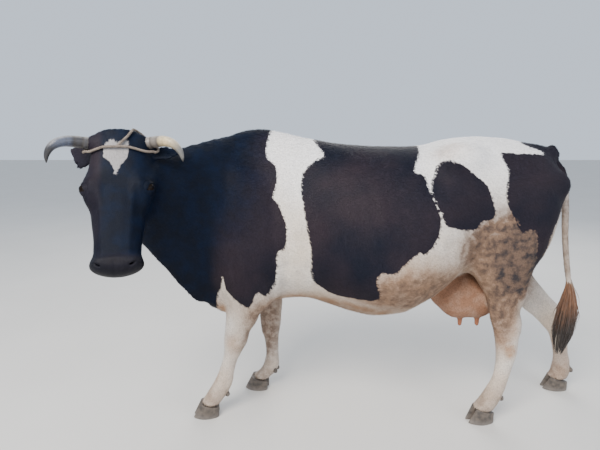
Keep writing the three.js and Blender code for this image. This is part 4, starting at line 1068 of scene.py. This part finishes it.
def lie_of(p, normal, kinds):
    """The way the hair lies at places on the skin."""
    w = {kind: kinds[:, i:i + 1] for i, kind in enumerate(KINDS)}
    side = np.clip(np.abs(p[:, 1:2]) / 200, 0, 1) * step(p[:, 2:3], 640, 900)
    trunk = np.concatenate([np.ones_like(side), np.zeros_like(side), -0.75 * side], 1)
    neck = -NECK_WAY * 0.9 + np.array([0, 0, -0.55])
    q = to_head(p)
    u, s, v = q.T
    front = step(v, -90, -30)
    outward = np.clip(s / 45, -1, 1)
    local = np.stack([np.where(u > 150, 1.0, -0.8) * (0.35 + 0.65 * front),
                      (0.1 + 0.25 * front) * outward, -(1 - front)], 1)
    local[:, 1] += hump(u, 150, 30) * outward * front
    ears = np.where((p[:, 0] > POLL[0])[:, None], ear_rows("left")[0], ear_rows("right")[0])
    down = np.array([0.12, 0, -1.0])
    way = (w["trunk"] * trunk + w["neck"] * neck + (w["head"] + w["muzzle"]) * (local @ HEAD)
           + w["ear"] * ears + w["leg"] * down + (w["udder"] + w["teat"]) * [0.7, 0, -0.4]
           + w["tail"] * down)
    high = w["leg"] * step(p[:, 2:3], 700, 950)  # the thigh's hair still runs backwards
    way = way + high * np.array([0.8, 0, 0.2])
    way = way - normal * (way * normal).sum(1, keepdims=True)
    return unit(way + 1e-6)


# How far the parts reach along the way that their unwrap is laid.
SPANS = {"trunk": (-480, 1260), "neck": (-250, 720), "head": (-80, 560), "udder": (440, 760),
         "tail": (600, 1330), "leg": (50, 1260), "ear": (-30, 190), "ear_across": (-60, 60)}
TURN = (-3.15, 3.15)
MARGINS = 0.03  # left free on either side of a strip


def strip(value, low, high, at=0, count=1):
    """A value from low to high, laid into one of several strips of the unwrap."""
    share = np.clip((value - low) / (high - low), 0, 1)
    return (at + MARGINS + (1 - 2 * MARGINS) * share) / count


def turned(a, b, at=0, count=1):
    """The angle of a place about a middle line, laid into a strip."""
    return strip(np.arctan2(a, b), *TURN, at, count)


def unwrap(kind, p):
    """A place on the skin laid flat: turned about the middle line of its part."""
    x, y, z = p.T
    if kind == "trunk":
        return strip(x, *SPANS[kind]), turned(y, z - 900)
    if kind == "neck":
        t, s, u = to_neck(p).T
        return strip(t, *SPANS[kind]), turned(s, u)
    if kind == "head":
        u, s, v = to_head(p).T
        return strip(u, *SPANS[kind]), turned(s, v + 75)
    if kind == "udder":
        return turned(y, x - 822), strip(z, *SPANS[kind])
    if kind in ("tail", "muzzle"):  # the muzzle grows only a few tufts, at its edge
        return turned(y, x - 1300), strip(z, *SPANS["tail"])
    out = np.zeros((len(p), 2))
    if kind == "ear":
        left = x > POLL[0] + 20
        for at, (word, mine) in enumerate((("left", left), ("right", ~left))):
            t, s, u = ((p[mine] - on_head(word, EAR_ROOT)) @ ear_rows(word).T).T
            face = (u - EAR_BOW * s * s > 0).astype(int)
            out[mine] = np.stack([strip(s, *SPANS["ear_across"], 2 * at + face, 4),
                                  strip(t, *SPANS[kind])], 1)
        return out.T
    fore, left = x < 400, y < 0
    for at, (mine, table) in enumerate((
            (fore & left, FORE_LEFT), (fore & ~left, FORE_RIGHT),
            (~fore & left, HIND_LEFT), (~fore & ~left, HIND_RIGHT))):
        rows = np.array(table[::-1], float)
        middle_x, middle_y = (np.interp(z[mine], rows[:, 0], rows[:, i]) for i in (1, 2))
        out[mine] = np.stack([turned(y[mine] - middle_y, x[mine] - middle_x, at, 4),
                              strip(z[mine], *SPANS[kind])], 1)
    return out.T


# Places where the coat is longer: [centres, radii, times longer, times higher].
LONGER = [
    [[on_head("left", [60, 165, -110])], [70, 70, 70], 1.2, 1.2],  # ears
    [[on_head("right", [60, 150, -150])], [70, 70, 70], 1.2, 1.2],
    [[on_head("left", [-18, 0, -55])], [60, 60, 50], 2.0, 1.5],  # forelock between the horns
    [both([-330, -60, 620]), [150, 190, 60], 1.5, 1.8],  # brisket
    [both([250, 0, 525]), [420, 200, 50], 1.35, 1.9],  # under the belly
    [both([-190, 0, 1410]), [260, 50, 50], 1.3, 1.5],  # withers
    [both([1090, -150, 760]), [60, 90, 200], 1.7, 1.8],  # back of the thigh
    [both([-130, -180, 690]), [50, 70, 50], 1.7, 1.9],  # elbow
]
TUFT_LIMIT = 48000  # tufts to a piece of the coat
SWAY, LENGTHS, LIFTS, TILT = 0.16, (0.75, 1.2), (0.35, 0.85), 0.12  # how far tufts differ
TUFT_WIDTH, WIDTH_BY_LENGTH = 0.6, 0.09
# A tuft's six points: how far along its length, up its lift, across its half width, and under
# the skin in millimetres; then its four triangles.
BLADE = np.array([[0, 0, -0.8, 0.8], [0, 0, 0.8, 0.8], [0.45, 0.8, -1, 0], [0.45, 0.8, 1, 0],
                  [1, 1, -1.1, 0], [0.86, 0.85, 1.1, 0]])
BLADE_FACES = np.array([[0, 3, 1], [0, 2, 3], [2, 4, 3], [2, 5, 3]])
BLADE_ACROSS = np.array([0.2, 0.8, 0, 1, 0, 1])
PATCH = 0.003  # of a tuft on the unwrap
BARE_LIDS = [6, 7]  # how far round the eye no tuft grows, along the slit and across it


def scattered(tris, wanted):
    """Places strewn over the triangles: which one, and the shares of its corners."""
    total = int(wanted.sum())
    pick = np.searchsorted(np.cumsum(wanted) / wanted.sum(), RANDOM.random(total))
    a, b = RANDOM.random((2, total))
    over = a + b > 1
    a[over], b[over] = 1 - a[over], 1 - b[over]
    return tris[np.minimum(pick, len(tris) - 1)], np.stack([1 - a - b, a, b], 1)


def grow_coat(body, kinds, values):
    """Strews tufts over the skin and gathers them into pieces, kind by kind."""
    tris, area = triangles_of(body)
    corners, shares = scattered(tris, area * (kinds @ CROWD)[tris].mean(1))

    def spread(numbers):
        return np.einsum("ij,ijk->ik", shares, numbers[corners])

    root, n, kind = spread(places(body)), unit(spread(vertex_normals(body))), spread(kinds)
    flat = spread(np.stack(list(values.values()), 1))
    total = len(root)
    t = lie_of(root, n, kind)
    sway = RANDOM.normal(0, SWAY, total)[:, None]
    t = unit(t * np.cos(sway) + np.cross(n, t) * np.sin(sway))
    length = (kind @ LENGTH) * RANDOM.uniform(*LENGTHS, total)
    lift = (kind @ DEPTH) * RANDOM.uniform(*LIFTS, total)
    for centres, radii, longer, higher in LONGER:
        near = np.max([nearness(root, at, radii) for at in centres], axis=0)
        length *= 1 + (longer - 1) * near
        lift *= 1 + (higher - 1) * near
    half = np.cross(n, t) * (TUFT_WIDTH + WIDTH_BY_LENGTH * length)[:, None] / 2
    ways = np.stack([t * length[:, None], n * lift[:, None], half, -n], 1)
    blades = root[:, None] + np.einsum("bw,iwk->ibk", BLADE, ways)
    shade = RANDOM.uniform(-1, 1, total)
    keep = clear_of_eyes(root) & (share_of(kind, "muzzle") < 0.55)
    main = np.argmax(kind, 1)
    paint = coat_paint("coat", False)
    for index, name in enumerate(KINDS):
        mine = np.flatnonzero(keep & (main == index))
        if len(mine) < 50:
            continue
        mine = mine[np.argsort(root[mine, 2 if name == "leg" else 0])]
        pieces = int(np.ceil(len(mine) / TUFT_LIMIT))
        for number, part in enumerate(np.array_split(mine, pieces)):
            label = f"coat_{name}" + (f"_{number + 1}" if pieces > 1 else "")
            traits_here = {word: flat[part, i] for i, word in enumerate(values)}
            traits_here["shade"] = shade[part]
            coat_piece(label, blades[part], n[part], unwrap(name, root[part]), traits_here, paint)


def bake_map(thing, uv, faces):
    layer = thing.data.uv_layers.new(name="OFBake")
    layer.data.foreach_set("uv", np.clip(uv[faces.ravel()], 0, 1).astype(np.float32).ravel())


def coat_piece(label, blades, n, root_uv, values, paint):
    """One mesh of tufts, with its numbers, its map and normals close to the skin's."""
    count, size = blades.shape[:2]
    faces = (np.arange(count)[:, None, None] * size + BLADE_FACES).reshape(-1, 3)
    thing = mesh_of(label, blades.reshape(-1, 3), faces)
    give(thing, {name: np.repeat(numbers, size) for name, numbers in values.items()})
    give(thing, {"tip": np.tile(BLADE[:, 0], count)})
    local = np.stack([BLADE_ACROSS, BLADE[:, 0]], 1) - 0.5
    uv = np.stack(root_uv, 1)[:, None] + local * PATCH
    bake_map(thing, uv.reshape(-1, 2), faces)
    soft = unit(np.repeat(n, size, 0) + RANDOM.normal(0, TILT, (count * size, 3)))
    thing.data.normals_split_custom_set_from_vertices(soft.astype(np.float32))
    wear(thing, paint, "hide")
    print(label, count * len(BLADE_FACES), "triangles")


def clear_of_eyes(p):
    o, c, w = at_eye(in_head(p))
    half, open_ = SLIT["half"] + BARE_LIDS[0], SLIT["open"] + BARE_LIDS[1]
    return (c / half) ** 2 + (w / open_) ** 2 + (o < 0) > 1


def wear(thing, material, slot, *nodes):
    """Gives a piece its material, hangs it on the root body and hides the model's parts that it
    replaces.
    """
    thing.data.materials.append(material)
    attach(thing, "root")
    if nodes:
        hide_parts(*nodes)


# ------------------------------------------------------------------ eyes
def grid_faces(rows, columns):
    """Quads of a grid of points laid row by row, each row joined end to end."""
    i, j = np.meshgrid(np.arange(rows - 1), np.arange(columns), indexing="ij")
    k = (j + 1) % columns
    return np.stack([i * columns + j, i * columns + k, (i + 1) * columns + k,
                     (i + 1) * columns + j], -1).reshape(-1, 4)


def globe(rows, columns, end):
    """Angles from the first axis, and points of a ball of radius 1 row by row around it."""
    polar = np.linspace(end, np.pi - end, rows)[:, None]
    turn = np.linspace(0, tau, columns, endpoint=False)[None, :]
    points = np.stack([np.cos(polar) * np.ones_like(turn), np.sin(polar) * np.cos(turn),
                       np.sin(polar) * np.sin(turn)], -1)
    return polar, points.reshape(-1, 3)


PUPIL_HALF, PUPIL_POWER = (7.2, 4.4), 2.6  # a rounded bar along the slit
IRIS_EDGE = (14.5, 17)
EYE_INSET, CORNEA_RISE, CORNEA_TURN = 0.4, 1.1, 0.42


def build_eye(word):
    rows, columns = 26, 40
    polar, ball = globe(rows, columns, 0.02)
    radius = EYE_RADIUS - EYE_INSET + CORNEA_RISE * np.exp(-((polar / CORNEA_TURN) ** 4))
    local = ball * np.repeat(radius, columns)[:, None]
    q = EYE_AT + local @ LOOK
    q[:, 1] *= -SIDES[word]
    faces = grid_faces(rows, columns)[:, ::SIDES[word]]
    thing = mesh_of("eyeball_" + word, POLL + q @ HEAD, faces)
    give(thing, {"slit": local[:, 1], "across": local[:, 2]})
    p = Paint("eye_" + word)
    slit, across = p.at("slit"), p.at("across")
    wide, tall = (
        p.math("POWER", p.math("ABSOLUTE", p.math("DIVIDE", value, half)), PUPIL_POWER)
        for value, half in zip((slit, across), PUPIL_HALF))
    pupil = p.ramp(p.plus(wide, tall), 0.85, 1.15, 1, 0)
    far = p.math("SQRT", p.plus(p.math("POWER", slit, 2), p.math("POWER", across, 2)))
    iris = p.mix(p.ramp(p.noise(300, 3), 0.3, 0.7), IRIS, IRIS_LIT)
    white = p.mix(p.ramp(far, *IRIS_EDGE), iris, EYE_WHITE)
    color = p.mix(pupil, white, PUPIL)
    wear(thing, p.finish(color, 0.10, Specular_IOR_Level=0.06), "eye", "eye_" + word)


# ------------------------------------------------------------------ horns
# The middle line of a horn: out, ahead and up from the poll; then [share of it, radius].
HORN_PATH = np.array([
    [72, -36, -40], [118, -30, -33], [146, -15, -28], [175, 8, -26],
    [202, 28, -33], [224, 36, -50], [238, 35, -76], [243, 30, -104]], float)
HORN_RADII = np.array([[0, 25], [0.2, 24], [0.45, 21.5], [0.65, 18], [0.82, 12.5], [0.94, 7],
                       [1, 2]], float)


def through(points, count, closed=False):
    """Evenly spaced points on a smooth curve through the given ones."""
    p = np.asarray(points, float)
    if closed:
        p = np.concatenate([p[-1:], p, p[:2]])
    else:
        p = np.concatenate([2 * p[:1] - p[1:2], p, 2 * p[-1:] - p[-2:-1]])
    fine = spline(p[:-3, None], p[1:-2, None], p[2:-1, None], p[3:, None], 40)
    fine = np.concatenate([fine, p[-2:-1]])
    run = np.concatenate([[0], np.cumsum(np.linalg.norm(np.diff(fine, axis=0), axis=1))])
    at = np.linspace(0, run[-1], count, endpoint=not closed)
    return np.stack([np.interp(at, run, fine[:, i]) for i in range(3)], 1)


def carried_frames(path, closed=False):
    """Way, side and cross direction along a path, turned as little as can be."""
    if closed:
        way = unit(np.roll(path, -1, 0) - np.roll(path, 1, 0))
    else:
        way = unit(np.gradient(path, axis=0))
    side = np.cross(way[0], Z if abs(way[0] @ Z) < 0.9 else X)
    sides = []
    for w in way:
        side = unit(side - w * (side @ w))
        sides.append(side)
    sides = np.array(sides)
    return way, sides, np.cross(way, sides)


def tube(path, radii, columns, closed=False):
    """Points and faces of a round tube along a path, open at the ends of an open one."""
    _, side, cross = carried_frames(path, closed)
    angle = np.linspace(0, tau, columns, endpoint=False)[None, :, None]
    radii = np.broadcast_to(radii, len(path)).astype(float)[:, None, None]
    rings = path[:, None] + radii * (np.cos(angle) * side[:, None] + np.sin(angle) * cross[:, None])
    points = rings.reshape(-1, 3)
    return points, grid_faces(len(path) + closed, columns) % len(points)


# Colours of root, middle and tip.
HORN_COLORS = {
    "left": [(0.17, 0.150, 0.135), (0.60, 0.48, 0.28), (0.17, 0.165, 0.155)],
    "right": [(0.045, 0.043, 0.048), (0.085, 0.100, 0.145), (0.025, 0.026, 0.032)],
}
RING_PACE, RING_DEPTH, RING_REACH = 62, 0.55, 0.42  # the rings round the root of a horn
HORN_WOBBLE = 0.5


def build_horn(word):
    rows, columns = 90, 30
    path = through([POLL + level_way(word, q) for q in HORN_PATH], rows)
    t = np.linspace(0, 1, rows)
    radius = np.interp(t, HORN_RADII[:, 0], HORN_RADII[:, 1]) - 0.5
    rings = np.sin(t * RING_PACE + 2.2 * np.sin(t * 9)) * RING_DEPTH * hump(t, 0, RING_REACH)
    radius = np.maximum(radius + rings, 0.3)
    points, faces = tube(path, radius, columns)
    turn = np.tile(np.arange(columns), rows) / columns * tau
    wobble = HORN_WOBBLE * np.sin(turn * 3 + np.repeat(t * 8, columns))
    middle = np.repeat(path, columns, 0)
    points = points + unit(points - middle) * (wobble * np.repeat(1 - t, columns))[:, None]
    thing = mesh_of("horn_ringed_" + word, points, faces)
    outer = unit(points - middle) @ level_way(word, [0.2, -0.2, 1.0])
    groove = np.clip(-rings / 0.4, 0, 1)
    give(thing, {"along": np.repeat(t, columns), "upper": outer,
                 "groove": np.repeat(groove, columns)})
    p = Paint("horn_" + word)
    along = p.plus(p.at("along"), p.jitter(40, 3, 0.12))
    root, belly, tip = HORN_COLORS[word]
    color = p.mix(p.ramp(along, 0.38, 0.50), root, belly)
    color = p.mix(p.ramp(along, 0.60, 0.78), color, tip)
    # painted highlight along the upper side of the horn, fading before the tip
    top_highlight = p.times(p.ramp(p.at("upper"), 0.3, 0.95, 0, 0.5), p.ramp(along, 0.8, 0.95, 1, 0))
    color = p.mix(top_highlight, color, HORN_TOP_HIGHLIGHT)
    color = p.mix(p.ramp(p.at("along"), 0.93, 0.99), color, HORN_POINT)
    # painted shade in the grooves between the rings
    color = p.mix(p.times(p.at("groove"), 0.75), color, HORN_GROOVE_SHADE)
    grain = p.noise(130, 4, (1, 1, 3))
    color = p.mix(p.ramp(grain, 0.45, 0.7, 0, 0.4), color, HORN_GRAIN)
    wear(thing, p.finish(color, 0.38, grain, 0.0006), "horn", "horn_" + word)


# ------------------------------------------------------------------ claws
# Millimetres, and shares of them; then where each foot stands and its turn in degrees.
CLAW = {"toe": 78, "heel": 50, "width": 50, "gap": 7, "height": 64, "rise": 0.28,
        "lean": 0.5, "taper": 0.42, "turn_in": 7, "draw": 0.08, "flat": 0.78}
FEET = {"front_left": [[-460, -122], -8], "front_right": [[-228, 140], 8],
        "hind_left": [[902, -169], -8], "hind_right": [[1437, 134], 5]}


def foot_rows(turn):
    """Rows: the way a foot points, the way to its side, and up."""
    a = radians(180 - turn)
    toe = np.array([cos(a), sin(a), 0.0])
    return np.array([toe, np.cross(Z, toe), Z])


def claw_points(foot, side, rows=22, columns=56):
    """One claw: its points ring by ring from the sole up, its faces, and each point's height."""
    (at_x, at_y), turn = FEET[foot]
    length, half = (CLAW["toe"] + CLAW["heel"]) / 2, CLAW["width"] / 2
    t = np.linspace(0, 1, rows)[:, None]
    angle = np.linspace(0, tau, columns, endpoint=False)[None, :]
    x, z = np.cos(angle) * np.ones_like(t), np.sin(angle) * np.ones_like(t)
    round_off = np.where(t < 0.06, 1 - 0.05 * (1 - t / 0.06), 1)  # a worn edge at the sole
    x, z = x * round_off, z * round_off
    toe = np.maximum(x, 0) ** 2
    sole = CLAW["toe"] - length + x * length
    crown = sole - np.maximum(sole, 0) * CLAW["lean"]
    ripple = 0.7 * np.sin(t * 46 + 1.5 * np.cos(angle)) * (t > 0.1) * (t < 0.96)
    along = sole + (crown - sole) * t + ripple * x
    height = (CLAW["height"] + CLAW["rise"] * crown) * t
    wall = z * np.where(z < 0, CLAW["flat"], 1)  # the side to the cleft is flatter
    wall = wall * (1 - CLAW["taper"] * toe) * (1 - CLAW["draw"] * t)
    across = CLAW["gap"] / 2 + half * (CLAW["flat"] + wall)
    across = across - CLAW["turn_in"] * toe * (1 - t) + ripple * z
    local = np.stack([along, side * across, height], -1).reshape(-1, 3)
    lid = [local[:columns].mean(0), local[-columns:].mean(0)]
    local = np.concatenate([local, lid])
    points = np.array([at_x, at_y, 0.0]) + local @ foot_rows(turn)
    quads = grid_faces(rows, columns)
    ring = np.arange(columns)
    after = np.roll(ring, -1)
    last = (rows - 1) * columns
    ends = np.concatenate([
        np.stack([after, ring, np.full(columns, rows * columns)], 1),
        np.stack([last + ring, last + after, np.full(columns, rows * columns + 1)], 1)])
    level = np.concatenate([np.repeat(t[:, 0], columns), [0, 1]])
    return points, quads, ends, level


def joined(name, points, quads, triangles):
    """A mesh of quads and triangles together."""
    mesh = bpy.data.meshes.new(name)
    mesh.from_pydata(metres(points).tolist(), [], quads.tolist() + triangles.tolist())
    for face in mesh.polygons:
        face.use_smooth = len(face.vertices) == 4
    return placed(name, mesh)


def build_claws():
    p = Paint("claw")
    level = p.plus(p.at("level"), p.jitter(60, 3, 0.25))
    color = p.mix(p.ramp(p.noise(45, 4), 0.35, 0.65), CLAW_DARK, CLAW_LIT)
    color = p.mix(p.ramp(level, 0.0, 0.45, 0.75, 0.0), color, DUST)
    paint = p.finish(color, 0.55, p.noise(120, 4, (1, 1, 5)), 0.001)
    for foot in FEET:
        outward = SIDES[foot.split("_")[1]]
        for word, side in (("inner", outward), ("outer", -outward)):
            points, quads, ends, heights = claw_points(foot, side)
            quads, ends = quads[:, ::-side], ends[:, ::-side]
            thing = joined(f"hoof_{foot}_{word}", points, quads, ends)
            give(thing, {"level": heights})
            wear(thing, paint, "claw", f"claw_{foot}_{word}")
            build_dewclaw(f"{foot}_{word}", paint)


def build_dewclaw(which, paint):
    """A small horn bud that fills the box of its solid."""
    rows, columns = 14, 20
    low, high = (np.array(corner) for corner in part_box("dewclaw_" + which))
    local = np.roll(globe(rows, columns, 0.05)[1], -1, axis=1)
    local[:, :2] *= (1 - 0.15 * local[:, 2:3])
    at = ((low + high) / 2 - OFFSET) * 1000 + local * (high - low) / 2 * 1000 * 0.98
    thing = mesh_of("bud_" + which, at, grid_faces(rows, columns)[:, ::-1])
    give(thing, {"level": 0.5 + 0.5 * local[:, 2]})
    wear(thing, paint, "claw", "dewclaw_" + which)


# ------------------------------------------------------------------ rope
ROPE_LIFT = 8.0  # of its middle over flesh and horns
STRAND_RADIUS, STRAND_AT = 2.7, 2.5
# In the frame of the head: half of the loop, and the strand that leaves its front.
ROPE_LOOP = [
    [54, 0, 0], [54, 40, 2], [60, 74, -2], [64, 100, -14], [46, 118, -40], [22, 120, -72],
    [0, 92, -92], [-12, 50, -108], [-16, 0, -118]]
ROPE_STRAND = [
    [56, 2, 2], [34, 22, 2], [8, 42, -4], [-26, 60, -30], [-38, 80, -58], [-4, 94, -90]]
ROPE_LAY = 30.0  # millimetres to a turn of the strands
HORN_MELT = 24  # of horn and flesh under the rope
LAY_ROUNDS, LAY_STEP = 10, 8.0  # how often it is pulled onto them, how far at a time


def with_horns(p):
    """Distance to flesh and horns together, for what lies on them."""
    d = evaluate(BARE, p)[0]
    for word in SIDES:
        path = through([POLL + level_way(word, q) for q in HORN_PATH], 40)
        horn = off_line(p, path) - HORN_RADII[0, 1]
        d, _ = melt(d, np.zeros((len(p), 1)), horn, np.zeros((len(p), 1)), HORN_MELT)
    return d, None


def laid(points, closed):
    """A path through the points of the head, laid on flesh and horns."""
    at = POLL + np.array(points, float) @ HEAD
    at = settle(with_horns, at, LAY_ROUNDS, ROPE_LIFT, LAY_STEP)
    at = settle(with_horns, through(at, 56, closed), LAY_ROUNDS, ROPE_LIFT, LAY_STEP)
    return through(at, 300 if closed else 90, closed)


def build_rope():
    mirrored = [[u, -s, v] for u, s, v in ROPE_LOOP[-2:0:-1]]
    points, faces, count = [], [], 0
    for line, closed in ((ROPE_LOOP + mirrored, True), (ROPE_STRAND, False)):
        path = laid(line, closed)
        _, side, cross = carried_frames(path, closed)
        turns = round(np.linalg.norm(np.diff(path, axis=0), axis=1).sum() / ROPE_LAY)
        t = np.linspace(0, 1, len(path), endpoint=not closed)
        for strand in range(3):
            a = ((t * turns + strand / 3) * tau)[:, None]
            centre = path + STRAND_AT * (np.cos(a) * side + np.sin(a) * cross)
            made, sides = tube(centre, STRAND_RADIUS, 8, closed)
            points.append(made)
            faces.append(sides + count)
            count += len(made)
    thing = mesh_of("rope", np.concatenate(points), np.concatenate(faces))
    p = Paint("rope")
    fibre = p.noise(600, 4)
    color = p.mix(p.ramp(p.noise(60, 4), 0.35, 0.65), ROPE_DARK, ROPE_LIT)
    color = p.mix(p.ramp(fibre, 0.5, 0.7, 0, 0.6), color, ROPE_FIBRE)
    wear(thing, p.finish(color, 0.85, fibre, 0.0008), "rope", "halter_rope")


# ------------------------------------------------------------------ tail switch
LOCKS, LOCK_RINGS = 420, 11
SWITCH_TOP, SWITCH_END = 705, 272
LOCK_SPREAD, LOCK_LENGTHS = 150, (170, 330)  # how far below the top they start
LONG_LOCKS, LONG_END = 60, 330  # so many reach down at least to there
CORE = [[1358, 0, 700], [1370, 0, 620], [1374, 0, 511], [1366, 0, 420], [1356, 0, 330]]


def lock_lines(outline):
    """The middle lines of the locks, the way out of the bunch, and where each one starts."""
    start = RANDOM.uniform(0, 1, LOCKS) ** 0.8
    top = SWITCH_TOP - LOCK_SPREAD * start
    end = np.clip(top - RANDOM.uniform(*LOCK_LENGTHS, LOCKS), SWITCH_END, None)
    end[:LONG_LOCKS] = RANDOM.uniform(SWITCH_END, LONG_END, LONG_LOCKS)
    angle = RANDOM.uniform(0, tau, LOCKS)
    spread_out = np.sqrt(RANDOM.uniform(0.1, 1, LOCKS))
    phase = RANDOM.uniform(0, tau, (2, LOCKS))[..., None]
    t = np.linspace(0, 1, LOCK_RINGS)[None, :]
    z = top[:, None] + (end - top)[:, None] * t
    v = outline(z.ravel()).reshape(LOCKS, LOCK_RINGS, -1)
    inward = 0.25 + 0.75 * np.sqrt(t) * spread_out[:, None]
    reach = np.clip(inward + 0.10 * t * np.sin(t * 9 + phase[0]), 0, 1) * 0.94
    out = np.stack([np.cos(angle), np.sin(angle), np.zeros(LOCKS)], 1)[:, None]
    x = v[..., 0] + out[..., 0] * v[..., 2] * reach
    y = v[..., 1] + out[..., 1] * v[..., 3] * reach + 2 * t * np.sin(t * 12 + phase[1])
    return np.stack([x, y, z], -1), out, top


def build_switch():
    """Long wavy locks hung from the end of the tail, filling the outline of the switch."""
    stations = np.array(SWITCH[::-1], float)
    outline = monotone(stations[:, 0], stations[:, 1:])
    middle, face, top = lock_lines(outline)
    t = np.linspace(0, 1, LOCK_RINGS)[None, :]
    way = unit(np.gradient(middle, axis=1))
    across = unit(np.cross(way, face))
    out = np.cross(across, way)
    width = (RANDOM.uniform(3.0, 6.0, LOCKS)[:, None] * (1 - 0.9 * t**1.6) + 0.25)[..., None]
    ring = np.stack([middle + across * width, middle + out * width * 0.45,
                     middle - across * width, middle - out * width * 0.45], 2)
    points = ring.reshape(-1, 3)
    one = grid_faces(LOCK_RINGS, 4)
    faces = (np.arange(LOCKS)[:, None, None] * LOCK_RINGS * 4 + one).reshape(-1, 4)
    thing = mesh_of("switch_hair", points, faces)
    shade = np.repeat(RANDOM.uniform(-1, 1, LOCKS), LOCK_RINGS * 4)
    give(thing, {"shade": shade, "tip": np.tile(np.repeat(t[0], 4), LOCKS)})
    core_rows = through(CORE, 30)
    core, core_faces = tube(core_rows, outline(core_rows[:, 2])[:, 3] * 0.55, 14)
    core_thing = mesh_of("switch_core", core, core_faces)
    give(core_thing, {"shade": np.full(len(core), -0.8), "tip": np.zeros(len(core))})
    # an unwrap of the hanging bunch: round it, and down it
    u = (np.arctan2(points[:, 1], points[:, 0] - 1368) + np.pi) / tau
    root = np.stack([u.reshape(LOCKS, -1)[:, 0], (top - 500) / 230], 1)
    local = np.stack([np.tile([0, 0.5, 1, 0.5], LOCK_RINGS), np.repeat(t[0], 4)], 1) - 0.5
    uv = np.repeat(root, LOCK_RINGS * 4, 0) * 0.96 + 0.02 + np.tile(local, (LOCKS, 1)) * PATCH
    bake_map(thing, uv, faces)
    p = Paint("switch")
    height = p.node("SeparateXYZ", {0: p.object}).outputs[2]
    height = p.plus(height, p.plus(p.jitter(14, 3, 0.16), p.times(p.at("shade"), 0.035)))
    color = p.mix(p.ramp(height, 0.40, 0.60), SWITCH_ENDS, RUST)
    color = p.mix(p.ramp(height, 0.62, 0.70), color, FAWN)
    color = p.mix(p.ramp(p.at("shade"), 0.90, 0.94, 0, 0.75), color, PALE_LOCK)
    streak = p.ramp(p.noise(220, 3, (1, 1, 0.1)), 0.35, 0.7, 0.6, 1.15)
    paint = p.finish(p.shaded(color, streak), 0.5, Sheen_Weight=0.1)
    wear(thing, paint, "switch_hair", "tail_switch")
    wear(core_thing, paint, "switch_hair")


# ------------------------------------------------------------------ the room and camera
CAMERA_AT, CAMERA_PITCH = [0, -2220, 1370], 10.58  # body millimetres, degrees down
LENS, SENSOR = 27.3, 36.0
SKY, SKY_STRENGTH = (0.76, 0.86, 1.0, 1.0), 1.0
FLOOR_COLORS = [(0.60, 0.585, 0.56), (0.66, 0.645, 0.62)]
# Name, place, what it looks at, size, strength, colour.
LIGHTS = [
    ["key", (-2.4, -4.0, 5.0), (-0.1, 0, 0.8), 3.2, 640, (1.0, 0.94, 0.86)],
    ["fill", (4.2, -3.2, 2.4), (0.3, 0, 0.8), 3.5, 90, (0.95, 0.97, 1.0)],
    ["back", (1.0, 4.5, 3.8), (0, 0, 0.9), 3.5, 170, (1.0, 0.97, 0.92)],
]


def build_room():
    p = Paint("floor")
    bpy.ops.mesh.primitive_plane_add(size=60)
    floor = bpy.context.object
    floor.name = "floor"
    floor.data.materials.append(p.finish(p.mix(p.noise(1.5, 2), *FLOOR_COLORS), 0.9))
    world = bpy.data.worlds.new("sky")
    world.use_nodes = True
    background = world.node_tree.nodes["Background"]
    background.inputs["Color"].default_value = SKY
    background.inputs["Strength"].default_value = SKY_STRENGTH
    bpy.context.scene.world = world
    for name, at, target, size, power, color in LIGHTS:
        light = bpy.data.lights.new(name, "AREA")
        light.size, light.energy, light.color = size, power, color
        thing = placed(name, light)
        thing.location = at
        thing.rotation_euler = (Vector(target) - Vector(at)).to_track_quat("-Z", "Y").to_euler()
    camera = bpy.data.cameras.new("camera")
    camera.lens, camera.sensor_width = LENS, SENSOR
    thing = placed("camera", camera)
    thing.location = metres(CAMERA_AT)
    thing.rotation_euler = (radians(90 - CAMERA_PITCH), 0, 0)
    bpy.context.scene.camera = thing


# ------------------------------------------------------------------ all together
LEGS = [f"leg_{a}_{b}" for a in ("front", "hind") for b in SIDES]
TEATS = [f"teat_{a}_{b}" for a in ("front", "rear") for b in SIDES]

body = build_skin()
body_kinds = evaluate(FLESH, places(body))[1]
body_traits = traits(places(body), body_kinds)
give(body, body_traits)
wear(body, coat_paint("skin", True), "hide", "head", "neck", "trunk", "udder", "tail",
     "ear_left", "ear_right", *LEGS, *TEATS)
grow_coat(body, body_kinds, body_traits)
for word in SIDES:
    build_eye(word)
    build_horn(word)
build_claws()
build_rope()
build_switch()
build_room()
